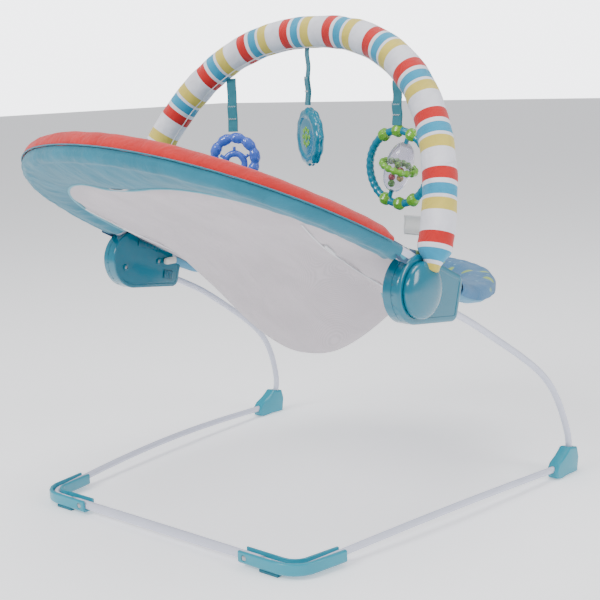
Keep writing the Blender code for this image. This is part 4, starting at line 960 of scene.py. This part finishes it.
def leg_top_place(u, v):
    turn = 3.0 + 174.0 * v
    centre, outward, up = rail_frame(leg_rail, turn)
    flare = math.sin(math.radians(turn)) ** 2
    start, end = math.radians(-28), math.radians(104)
    a = start + (end - start) * min(u / OVER_TUBE, 1.0)
    ripple = noise.noise(Vector((turn * 0.16, u * 4.0, 2.0))) * 0.0012
    radius = 0.0122 + 0.0015 * flare + ripple
    point = centre + (outward * math.cos(a) + up * math.sin(a)) * radius
    if u > OVER_TUBE:
        far = (u - OVER_TUBE) / (1 - OVER_TUBE)
        inner = centre - outward * (0.026 + 0.012 * flare)
        inner.z = max(sling_height(inner.x, inner.y) + 0.0125, centre.z - 0.012)
        point = point.lerp(inner, far)
        point.z += 0.0040 * math.sin(math.pi * far)
    return point


leg_top = sewn("leg_rest_top", bent_grid(26, 170, leg_top_place), LEG_PRINT, (), "pad_print")
declare_sheet(leg_top, (0.085, 0.82), "stretched", ["leg_skin_cloth"])


def flap_place(sign):
    def place(u, v):
        y = -0.004 + 0.082 * v
        x = sign * (0.198 + 0.030 * u)
        tube_top = 0.268 + (y - HUB.y) * 0.29 + 0.0415
        inner = rail_height(y) - 0.004
        z = inner + (max(tube_top, rail_height(y) + 0.0085) - inner) * blend_in(0.0, 0.55, u)
        z -= 0.020 * blend_in(0.70, 1.0, u) ** 2
        z += noise.noise(Vector((y * 40, u * 4, 6.0 * sign))) * 0.0016 + 0.001 * math.sin(math.pi * u)
        return Vector((x, y, z))
    return place


for side, sign in SIDES:
    bm = bent_grid(18, 40, flap_place(sign))
    bmesh.ops.recalc_face_normals(bm, faces=bm.faces)
    flap = sewn(f"side_flap_{side}", bm, LEAF_CLOTH, (), "pad_print")
    declare_sheet(flap, (0.050, 0.094), "stretched", [f"hub_cover_{side}"])

# %% [markdown]
# The red band is a padded roll on top of the tube, thickest at the head. Its cross-section is drawn once,
# as a closed line of points that is thicker on the inner side, and is swept along the tube. Where the
# cloth is sewn down it puckers, so small ripples run along its two lower edges.

# %% The padded red band
BAND = (  # its section in millimetres, as (outwards, up) from the middle of the tube
    (10.4, 3.5), (11.3, 8.0), (9.8, 13.0), (6.5, 18.0), (1.5, 21.6), (-4.0, 22.6), (-9.0, 20.8),
    (-13.0, 15.8), (-15.0, 9.8), (-11.6, 6.6), (-7.4, 8.0), (-3.0, 10.2), (2.0, 10.6), (6.4, 8.6),
)


def rounded_at(corners, share):
    """A point on the smooth closed line through the corners."""
    count = len(corners)
    place = (share % 1.0) * count
    i = int(place) % count
    t = place - int(place)
    p0, p1, p2, p3 = (Vector(corners[(i + k) % count]) for k in (-1, 0, 1, 2))
    return 0.5 * (2 * p1 + (p2 - p0) * t + (2 * p0 - 5 * p1 + 4 * p2 - p3) * t * t
                  + (3 * p1 - p0 - 3 * p2 + p3) * t * t * t)


def crown(turn):
    """The band is lower near the hubs than at the head."""
    return 0.75 + 0.25 * math.sin(math.radians(turn)) ** 2


def band_place(u, v):
    turn = 5.0 + 170.0 * v
    centre, outward, up = rail_frame(back_rail, turn, BACK_NORMAL)
    out, high = rounded_at(BAND, u)
    ends = 0.55 + 0.45 * blend_in(0.0, 0.022, min(v, 1 - v))
    low = 1 - blend_in(8.0, 16.0, high)
    pucker = math.sin(turn * 4.3 + 2 * noise.noise(Vector((turn * 0.2, 0, 0)))) * 0.28 * low
    pucker += noise.noise(Vector((turn * 0.28, u * 6.0, 3.0))) * 0.9
    out += pucker * (1 if out > 0 else -1)
    high = 7.0 + (high * crown(turn) - 7.0) * ends + noise.noise(Vector((turn * 0.2, u * 4.0, 9.0))) * 0.8
    return centre + (outward * out * (0.4 + 0.6 * ends) + up * high) * MM


band_bm = bent_grid(44, 260, band_place)
settle(band_bm)
band = sewn("red_band", band_bm, RED_CLOTH, ("red_rim_roll",), "rim_red")
for label, corner in (("outer", 0.02), ("inner", 0.60)):
    track = []
    for i in range(161):
        turn = 6 + 168 * i / 160
        centre, outward, up = rail_frame(back_rail, turn, BACK_NORMAL)
        out, high = rounded_at(BAND, corner)
        track.append(centre + (outward * out * 1.02 + up * high * crown(turn)) * MM)
    finish_piece(f"band_seam_{label}", tube(track, 0.0008, 8), THREAD_TEAL, "seat", sharp=0)
print("red band:", [round(side, 3) for side in band.dimensions])

# %% [markdown]
# The three cushions fill the seat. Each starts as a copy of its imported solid, a little slimmer, which is
# remeshed into even squares and blown up gently by the cloth solver under a small air pressure. A point
# may not move further than a few millimetres. Then the sewn channels are pressed in along the seams.

# %% Padded cushions


def remeshed(node, slim, voxel):
    """An even, slightly slimmer copy of a soft solid."""
    bm = copy_of(node)
    bm.normal_update()
    for vert in bm.verts:
        vert.co -= vert.normal * slim
    mesh = bpy.data.meshes.new(f"{node}_start")
    bm.to_mesh(mesh)
    bm.free()
    start = bpy.data.objects.new(f"{node}_start", mesh)
    bpy.context.scene.collection.objects.link(start)
    remesh = start.modifiers.new("even", "REMESH")
    remesh.mode = "VOXEL"
    remesh.voxel_size = voxel
    even = bpy.data.meshes.new_from_object(start.evaluated_get(bpy.context.evaluated_depsgraph_get()))
    bpy.data.objects.remove(start)
    return even


STEPS = 20


def blown_up(mesh, cap, held):
    """The mesh after STEPS steps of air pressure, moved by no more than the cap."""
    start = [vert.co.copy() for vert in mesh.vertices]
    pad = bpy.data.objects.new("blowing", mesh)
    bpy.context.scene.collection.objects.link(pad)
    pins = pad.vertex_groups.new(name="held")
    pins.add([vert.index for vert in mesh.vertices if held(vert.co)], 1.0, "REPLACE")
    solver = pad.modifiers.new("blow", "CLOTH")
    solver.settings.use_pressure = True
    solver.settings.uniform_pressure_force = 4.0
    solver.settings.effector_weights.gravity = 0.0
    solver.settings.vertex_group_mass = "held"
    solver.point_cache.frame_start = 1
    solver.point_cache.frame_end = STEPS
    for step in range(1, STEPS + 1):
        bpy.context.scene.frame_set(step)
    done = pad.evaluated_get(bpy.context.evaluated_depsgraph_get())
    after = [vert.co.copy() for vert in done.data.vertices]
    pad.modifiers.remove(solver)
    bpy.context.scene.frame_set(1)
    for vert, before, now in zip(mesh.vertices, start, after):
        move = now - before
        vert.co = before + (move * (cap / move.length) if move.length > cap else move)
    bpy.data.objects.remove(pad, do_unlink=True)
    return mesh


def channel(place, seam, deep, wide):
    return deep * math.exp(-(((place - seam) / wide) ** 2))


def pad_press(x, y):
    """How far the sewn channels press the cushions down here."""
    down = 0.0
    for seam in (0.1585, -0.1365):
        down += channel(y, seam, 0.0030, 0.005)
    for seam in (0.215, 0.075, -0.015, -0.095, -0.195):
        down += channel(y, seam, 0.0016, 0.004) * (1 - blend_in(0.10, 0.16, abs(x)))
    for rib in (0.075, 0.15):
        down += channel(abs(x), rib, 0.0018, 0.004)
    return down + noise.noise(Vector((x * 28, y * 28, 4.0))) * 0.0007


def make_cushion(node, material):
    mesh = remeshed(node, 0.0008, 0.005)
    mesh = blown_up(mesh, 0.004, lambda co: co.z < sling_height(co.x, co.y) + 0.004)
    for vert in mesh.vertices:
        if vert.co.z > sling_height(vert.co.x, vert.co.y) + 0.006:
            vert.co.z -= pad_press(vert.co.x, vert.co.y)
    bm = bmesh.new()
    bm.from_mesh(mesh)
    bpy.data.meshes.remove(mesh)
    bmesh.ops.smooth_vert(
        bm, verts=bm.verts, factor=0.4, use_axis_x=True, use_axis_y=True, use_axis_z=True
    )
    piece = sewn(f"{node}_cushion", bm, material, (node,), "pad_print")
    print(piece.name, "has", len(piece.data.polygons), "faces")


make_cushion("back_pad", LEAF_CLOTH)
make_cushion("seat_pad", SEAT_CLOTH)
make_cushion("leg_pad", LEG_PRINT)

# %% [markdown]
# The toy bar is a bent rod in a padded, striped sleeve. The sleeve is a fat tube along the rod whose
# ends gather to a narrow tail at each hub. Every point carries its distance along the bar, so the
# stripes are sewn in at their true widths. Small wrinkles gather where cloths meet.

# %% The striped toy bar sleeve


def bar_point(turn):
    """The toy bar's line, turn from 0 at the left hub to 180 at the right one."""
    x, up = arch(turn, 0.2380, 0.290, 2.3)
    t = math.radians(22)
    return HUB + Vector((x, -up * math.sin(t), up * math.cos(t)))


def bar_rise(point):
    return math.hypot(point.y - HUB.y, point.z - HUB.z)


def bar_track(rise, count):
    """Evenly spread points along the bar, from the right hub to the left one."""
    fine = [bar_point(180 - 0.1 * i) for i in range(1801)]
    fine = [p for p in fine if bar_rise(p) >= rise]
    lengths = [0.0]
    for before, after in zip(fine, fine[1:]):
        lengths.append(lengths[-1] + (after - before).length)
    track, at = [], 0
    for i in range(count + 1):
        goal = lengths[-1] * i / count
        while at < len(fine) - 2 and lengths[at + 1] < goal:
            at += 1
        step = max(lengths[at + 1] - lengths[at], 1e-9)
        track.append(fine[at].lerp(fine[at + 1], min((goal - lengths[at]) / step, 1.0)))
    return track, lengths[-1]


SLEEVE_RINGS = 420
SLEEVE_TRACK, SLEEVE_LONG = bar_track(0.020, SLEEVE_RINGS)


def sleeve_radius(share):
    from_end = min(share, 1 - share) * SLEEVE_LONG
    body = 0.0185 * (0.42 + 0.58 * blend_in(0.004, 0.026, from_end))
    return body * (1 + 0.012 * math.sin(share * SLEEVE_LONG * 140))


bar_bm = tube(SLEEVE_TRACK, sleeve_radius, 32)
bar_bm.normal_update()
along_layer = bar_bm.verts.layers.float["along"]
for vert in bar_bm.verts:
    here = vert.co
    end = blend_in(0.05, 0.012, min(vert[along_layer], SLEEVE_LONG - vert[along_layer]))
    crease = noise.noise(here * 60) * 0.0007
    gather = noise.noise(Vector((here.x * 220, here.y * 220, here.z * 40))) * 0.0011 * end
    vert.co += vert.normal * (crease + gather)
sleeve = finish_piece("striped_sleeve", bar_bm, BAR_CLOTH, "toy_bar", ("toy_bar_sleeve", "toy_bar_rod"),
                      "bar_fabric", 0, 1)
print("sleeve length:", round(SLEEVE_LONG, 3), "m, or", round(SLEEVE_LONG / STRIPE_ROW, 1), "rows of stripes")

# %% [markdown]
# A line of stitches runs along the sleeve's underside, where the cloth closes, and a blank label is sewn
# in near the right hub. The label is a small, slightly curled sheet with a line of stitches round its edge.

# %% Sleeve seam and label
seam_track = []
for i in range(10, SLEEVE_RINGS - 9):
    here = SLEEVE_TRACK[i]
    inward = HUB - here
    along = (SLEEVE_TRACK[i + 1] - SLEEVE_TRACK[i - 1]).normalized()
    inward = (inward - along * inward.dot(along)).normalized()
    seam_track.append(here + inward * sleeve_radius(i / SLEEVE_RINGS) * 1.005)
finish_piece("sleeve_seam", tube(seam_track, 0.0007, 8), THREAD_WHITE, "toy_bar", sharp=0)

tag_low, tag_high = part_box("toy_bar_tag")


def tag_place(u, v):
    size = tag_high - tag_low
    curl = 0.0012 * math.sin(math.pi * u) + 0.0008 * math.sin(2 * math.pi * v)
    return Vector((tag_low.x + size.x * u, (tag_low.y + tag_high.y) / 2 + curl, tag_low.z + size.z * v))


tag_bm = bent_grid(16, 12, tag_place)
bmesh.ops.solidify(tag_bm, geom=tag_bm.faces, thickness=0.0007)
settle(tag_bm)
tag = finish_piece("blank_label", tag_bm, TAG_CLOTH, "toy_bar", ("toy_bar_tag",), "tag_white", 50)
tag_round = ((0.06, 0.06), (0.5, 0.06), (0.94, 0.06), (0.94, 0.5), (0.94, 0.94), (0.5, 0.94),
             (0.06, 0.94), (0.06, 0.5), (0.06, 0.07))
tag_edge = [tag_place(u, v) + Vector((0, 0.0006, 0)) for u, v in tag_round]
finish_piece("label_stitch", tube(tag_edge, 0.0003, 6), THREAD_WHITE, "toy_bar", sharp=0)
print("label:", [round(part, 4) for part in tag_high - tag_low])

# %% [markdown]
# The toys hang on short webbing straps. Webbing is thin with square-looking edges, so its section is a
# circle squeezed to a rounded rectangle. Near the toy the strap is folded over and sewn across.

# %% Toy straps


def squared(vert, wide, thick):
    """Push a point of a unit circle out to a rounded rectangle."""
    angle = math.atan2(vert.co.y, vert.co.x)
    c, s = math.cos(angle), math.sin(angle)
    vert.co.x = math.copysign(abs(c) ** 0.35, c) * wide / 2
    vert.co.y = math.copysign(abs(s) ** 0.35, s) * thick / 2


def webbing(name, points, wide, thick, across, body, replaced=()):
    """A flat strap along points; across is the direction of its width."""
    bm = swept(place_along(points, across), 24, lambda vert: squared(vert, wide, thick))
    return finish_piece(name, bm, WEBBING, body, replaced, "strap_teal")


def heading(degrees):
    """The direction a toy faces, as seen from above."""
    return Vector((math.cos(math.radians(degrees)), math.sin(math.radians(degrees)), 0))


TOYS = (  # name, where its strap leaves the bar, the way it faces, the strap's length
    ("teether", Vector((0.12332, -0.05599, 0.48423)), heading(118), 0.064),
    ("rattle", Vector((0.00704, -0.06712, 0.51748)), heading(62), 0.066),
    ("spinner", Vector((-0.13366, -0.05351, 0.47695)), heading(90), 0.048),
)
for toy, top, facing, long in TOYS:
    across = facing.cross(UP)
    hang = [top + facing * 0.0007 * math.sin(i * 0.9) + Vector((0, 0, 0.002 - (long + 0.001) * i / 16))
            for i in range(17)]
    webbing(f"{toy}_webbing", hang, 0.0120, 0.0017, across, f"{toy}_toy", (f"{toy}_strap",))
    fold = [point + facing * 0.0019 for point in hang[8:]]
    webbing(f"{toy}_fold", fold, 0.0118, 0.0016, across, f"{toy}_toy")
    for row, height in (("upper", 0.50), ("lower", 0.74)):
        point = top + Vector((0, 0, -long * height)) + facing * 0.0030
        stitch = [point + across * (0.0046 * (i / 8 * 2 - 1)) + Vector((0, 0, 0.0007 * (-1) ** i))
                  for i in range(9)]
        finish_piece(f"{toy}_stitch_{row}", tube(stitch, 0.0004, 6), THREAD_WHITE, f"{toy}_toy", sharp=0)
print("straps:", [row[0] for row in TOYS])

# %% [markdown]
# The teething ring is soft see-through plastic, moulded with plump segments. A ring is spun from a
# small circle, and a wave round it swells it between the grooves. A second, thinner ring hangs from the
# strap and holds it.

# %% The teething ring
TEETHER = Vector((0.12332, -0.05599, 0.38693))
INNER_RING = TEETHER + Vector((0, 0, -0.0053))
facing = heading(118)
ring_bm = torus(TEETHER, facing, 0.0265, 0.0062, 160, 22,
                lambda a: 1.0 + 0.13 * math.cos(a * 10) - 0.05 * math.cos(a * 20))
finish_piece("teething_ring", ring_bm, TEETHER_BLUE, "teether_toy", ("teether_ring",), "teether_blue", 0)
small = torus(INNER_RING, facing, 0.0125, 0.0042, 72, 16,
              lambda a: 1.0 + 0.05 * math.cos(a * 6))
finish_piece("teething_ring_inner", small, TEETHER_BLUE, "teether_toy", (), "teether_blue", 0)
webs = []
for i in range(6):
    a = math.pi / 2 + 2 * math.pi * i / 6
    spoke = facing.cross(UP) * math.cos(a) + UP * math.sin(a)
    webs.append(tube([INNER_RING + spoke * (0.0135 + 0.0075 * k / 4) for k in range(5)], 0.0020, 12))
finish_piece("teething_ring_webs", joined(webs), TEETHER_BLUE, "teether_toy", (), "teether_blue", 0)
print("teething ring is", round(2 * (0.0265 + 0.0065), 3), "m across")

# %% [markdown]
# The rattle is a flat round case with a wavy rim. Its profile is turned, then every point is drawn in or
# out by a wave round the axis. The face has a sunk oval with a simple flower of raised dots.

# %% The rattle
RATTLE = Vector((0.00704, -0.06712, 0.41518))
rattle_axis = heading(62)
profile = [(0.0, -0.0050), (0.0180, -0.0050), (0.0225, -0.0042), (0.0240, -0.0062), (0.0290, -0.0062),
           (0.0335, -0.0048), (0.0352, -0.0020), (0.0342, -0.0004), (0.0342, 0.0004), (0.0352, 0.0020),
           (0.0335, 0.0048), (0.0290, 0.0062), (0.0240, 0.0062), (0.0225, 0.0042), (0.0180, 0.0050),
           (0.0, 0.0050)]
rattle_bm = spun(profile, RATTLE, rattle_axis, 128)
side_way = rattle_axis.cross(UP)
for vert in rattle_bm.verts:
    arm = vert.co - RATTLE
    flat = arm - rattle_axis * arm.dot(rattle_axis)
    angle = math.atan2(flat.z, flat.dot(side_way))
    edge = blend_in(0.020, 0.035, flat.length)
    vert.co += flat * (0.028 * math.cos(angle * 12) - 0.02) * edge
finish_piece("rattle_case", rattle_bm, RATTLE_TEAL, "rattle_toy", ("rattle_disc",), "rattle_teal", 35, 1)
dots = []
for face in (1, -1):
    for i in range(9):
        a = 2 * math.pi * i / 8
        reach = 0.0 if i == 8 else 0.0095
        place = RATTLE + (side_way * math.cos(a) + UP * math.sin(a)) * reach
        dot = bmesh.new()
        bmesh.ops.create_uvsphere(dot, u_segments=20, v_segments=10, radius=0.0034 if i < 8 else 0.0045)
        flatten = aimed(place + rattle_axis * face * 0.0050, rattle_axis) @ Matrix.Diagonal((1, 1, 0.32, 1))
        bmesh.ops.transform(dot, matrix=flatten, verts=dot.verts)
        dots.append(dot)
finish_piece("rattle_flower", joined(dots), LIME_PLASTIC, "rattle_toy", (), "bead_green", 0)
print("rattle is", round(2 * 0.036, 3), "m across")

# %% [markdown]
# The last toy is a loop with lime beads at its top and bottom. A clear shell spins inside it on two pins,
# with small balls in it and a lime ring round its waist. The clear shell has a wall, so light bends at
# two surfaces as it does in the real one.

# %% The loop, its beads and the clear spinner
LOOP = Vector((-0.13366, -0.05351, 0.38355))
LOOP_RADIUS = 0.0405
SPIN_AXIS = Vector((-math.sin(math.radians(22)), 0, math.cos(math.radians(22))))
loop_bm = torus(LOOP, (0, 1, 0), LOOP_RADIUS, 0.0044, 180, 16,
                lambda a: 1.0 + 0.07 * math.cos(a * 36) * (1 - blend_in(0.6, 0.9, abs(math.sin(a)))))
finish_piece("toy_loop", loop_bm, RATTLE_TEAL, "spinner_toy", ("spinner_loop",), "rattle_teal", 0)


def bead(centre, axis, radius, long, ribs=0):
    bm = bmesh.new()
    bmesh.ops.create_uvsphere(bm, u_segments=36, v_segments=18, radius=1.0)
    for vert in bm.verts:
        angle = math.atan2(vert.co.y, vert.co.x)
        grow = 1 + (0.05 * math.cos(angle * ribs) if ribs else 0)
        vert.co = Vector((vert.co.x * radius * grow, vert.co.y * radius * grow, vert.co.z * long))
    bmesh.ops.transform(bm, matrix=aimed(centre, axis), verts=bm.verts)
    return bm


beads = []
for degrees in (62, 90, 118, 242, 270, 298):
    a = math.radians(degrees)
    centre = LOOP + Vector((math.cos(a), 0, math.sin(a))) * LOOP_RADIUS
    way = Vector((-math.sin(a), 0, math.cos(a)))
    beads.append(bead(centre, way, 0.0072, 0.0078, 8))
finish_piece("loop_beads", joined(beads), LIME_PLASTIC, "spinner_toy", (), "bead_green", 30)

outer, inner = [], []
for i in range(25):
    a = -math.pi / 2 + math.pi * i / 24
    outer.append((0.0155 * math.cos(a) ** 0.8 if abs(a) < 1.57 else 0.0, 0.029 * math.sin(a)))
    inner.append((0.0143 * math.cos(a) ** 0.8 if abs(a) < 1.57 else 0.0, 0.0278 * math.sin(a)))
inside = spun(inner, LOOP, SPIN_AXIS, 64)
bmesh.ops.reverse_faces(inside, faces=inside.faces)
shell = joined([spun(outer, LOOP, SPIN_AXIS, 64), inside])
finish_piece("clear_case", shell, CLEAR_SHELL, "spinner", ("spinner_shell",), "clear_shell", 0)
waist = torus(LOOP, SPIN_AXIS, 0.0190, 0.0036, 120, 14, lambda a: 1.0 + 0.16 * math.cos(a * 16))
finish_piece("waist_ring", waist, LIME_PLASTIC, "spinner", ("spinner_ring",), "bead_green", 0)
for name, colour, spots in (
    ("red_balls", RED_BEAD, ((0.004, 0.002, -0.012), (-0.006, 0.003, -0.004))),
    ("yellow_balls", YELLOW_BEAD, ((0.005, -0.004, -0.003), (-0.003, -0.005, -0.014))),
    ("lime_balls", LIME_PLASTIC, ((-0.001, 0.006, -0.019), (0.001, 0.001, 0.003))),
):
    balls = [bead(LOOP + Vector((x, y, 0)) + SPIN_AXIS * z, UP, 0.0040, 0.0040) for x, y, z in spots]
    finish_piece(name, joined(balls), colour, "spinner", (), "bead_green", 0)
pins = [tube([LOOP + SPIN_AXIS * (end * (0.0285 + 0.0095 * i / 4)) for i in range(5)], 0.0026, 16)
        for end in (-1, 1)]
finish_piece("spinner_pins", joined(pins), RATTLE_TEAL, "spinner_toy", (), "rattle_teal", 30)
print("loop is", round(2 * 0.0451, 3), "m across")

# %% [markdown]
# The harness lies in the seat: two waist straps, a padded crotch strap and a grey buckle. They start as
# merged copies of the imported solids, get softened edges, and take webbing, print and plastic.

# %% Harness
for side, _ in SIDES:
    bevelled_copy(f"waist_strap_{side}", 0.0006, WEBBING, "strap_teal")
crotch = bevelled_copy("crotch_strap", 0.0016, LEAF_CLOTH, "pad_print")
bevelled_copy("harness_buckle", 0.0012, BUCKLE_GREY, "buckle_grey")

# %% [markdown]
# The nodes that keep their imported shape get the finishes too: screws, pins, rubber grips and the parts
# inside the hubs. A finish is assigned to a node's own material slots.

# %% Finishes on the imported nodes
KEPT = {
    "hub_clamp": HUB_DARK_AND_PAINTED_SHADE, "hub_screw": STEEL, "rear_foot_screw": STEEL, "rear_grip_pad": GRIP_RUBBER,
    "bar_pivot_pin": STEEL,
}
given_finish = 0
for name, node in NODES.items():
    for start, material in KEPT.items():
        if name.startswith(start):
            if not node.data.materials:
                node.data.materials.append(material)
            for slot in node.material_slots:
                slot.material = material
            given_finish += 1
print("packed nodes with a new finish:", given_finish)

# %% [markdown]
# The stage is a pale floor that runs far back, with soft light from large panels. The main panel stands
# to the camera's left and rear, which puts long highlights on the hub's edge. The camera stands behind the
# seat, to the baby's right, a little above the rails.

# %% Floor, lights and camera


def make_floor():
    bm = bmesh.new()
    bmesh.ops.create_grid(bm, x_segments=4, y_segments=4, size=14.0)
    mesh = bpy.data.meshes.new("studio_floor")
    bm.to_mesh(mesh)
    bm.free()
    material, tree, shader = finish("studio_floor", 0.75, Emission_Color=(0.96, 0.97, 1.0, 1.0),
                                    Emission_Strength=0.45)
    _, mask = placed_group(tree, PEEL, 3.0, 0.1)
    tree.links.new(varied(tree, mask, (0.93, 0.93, 0.94), 0.01), shader.inputs["Base Color"])
    mesh.materials.append(material)
    floor = bpy.data.objects.new("studio_floor", mesh)
    bpy.context.scene.collection.objects.link(floor)
    floor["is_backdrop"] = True


def soft_panel(name, place, target, size, power, tint=(1, 1, 1)):
    lamp = bpy.data.lights.new(name, "AREA")
    lamp.shape = "RECTANGLE"
    lamp.size, lamp.size_y = size
    lamp.energy = power
    lamp.color = tint
    panel = bpy.data.objects.new(name, lamp)
    panel.location = place
    panel.rotation_euler = (Vector(target) - Vector(place)).to_track_quat("-Z", "Y").to_euler()
    bpy.context.scene.collection.objects.link(panel)


def aim_camera(azimuth, elevation, distance, target, roll, lens):
    """A camera at an angle round the object. Azimuth 0 looks along +Y."""
    a, e, r = (math.radians(part) for part in (azimuth, elevation, roll))
    back = Vector((math.sin(a) * math.cos(e), -math.cos(a) * math.cos(e), math.sin(e)))
    right = UP.cross(back).normalized()
    up = back.cross(right)
    right, up = right * math.cos(r) + up * math.sin(r), up * math.cos(r) - right * math.sin(r)
    camera = bpy.data.objects.new("camera", bpy.data.cameras.new("camera"))
    camera.data.lens = lens
    camera.data.sensor_width = 36.0
    camera.data.clip_end = 60.0
    turn = Matrix((right, up, back)).transposed().to_4x4()
    camera.matrix_world = Matrix.Translation(Vector(target) + back * distance) @ turn
    bpy.context.scene.collection.objects.link(camera)
    bpy.context.scene.camera = camera


make_floor()
world = bpy.data.worlds.new("studio")
world.use_nodes = True
sky = world.node_tree.nodes["Background"]
sky.inputs["Color"].default_value = (0.95, 0.96, 1.0, 1.0)
seen = add_node(world.node_tree, "LightPath").outputs["Is Camera Ray"]
brightness = add_node(world.node_tree, "MapRange", Value=seen, To_Min=0.55, To_Max=4.5)
world.node_tree.links.new(brightness.outputs[0], sky.inputs["Strength"])
bpy.context.scene.world = world
soft_panel("key_panel", (0.4, 2.2, 1.9), (0, 0, 0.3), (1.2, 1.0), 62)
soft_panel("side_panel", (-2.1, -0.4, 1.2), (0, 0, 0.3), (0.7, 1.4), 26, (0.97, 0.98, 1.0))
soft_panel("top_panel", (0.0, 0.0, 2.4), (0, 0, 0.2), (1.4, 1.4), 34)
aim_camera(221.63, 10.48, 1.4947, (0.0095, -0.0413, 0.2213), -2.03, 74.379)
print("camera at", [round(part, 3) for part in bpy.context.scene.camera.location])

# %% [markdown]
# Both boxes, the imported model's and the dressed model's, are printed one after the other before the model
# is finished. The dressed model has to stay inside the imported model's box, apart from a little room for
# cloth.

# %% Print both sizes and finish
VISUAL_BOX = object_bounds()


def plain(value):
    return [plain(part) for part in value] if hasattr(value, "__len__") else float(value)


{"cad": plain(CAD_BOX), "visual": plain(VISUAL_BOX)}
print("packed box:", plain(CAD_BOX))
print("dressed box:", plain(VISUAL_BOX))
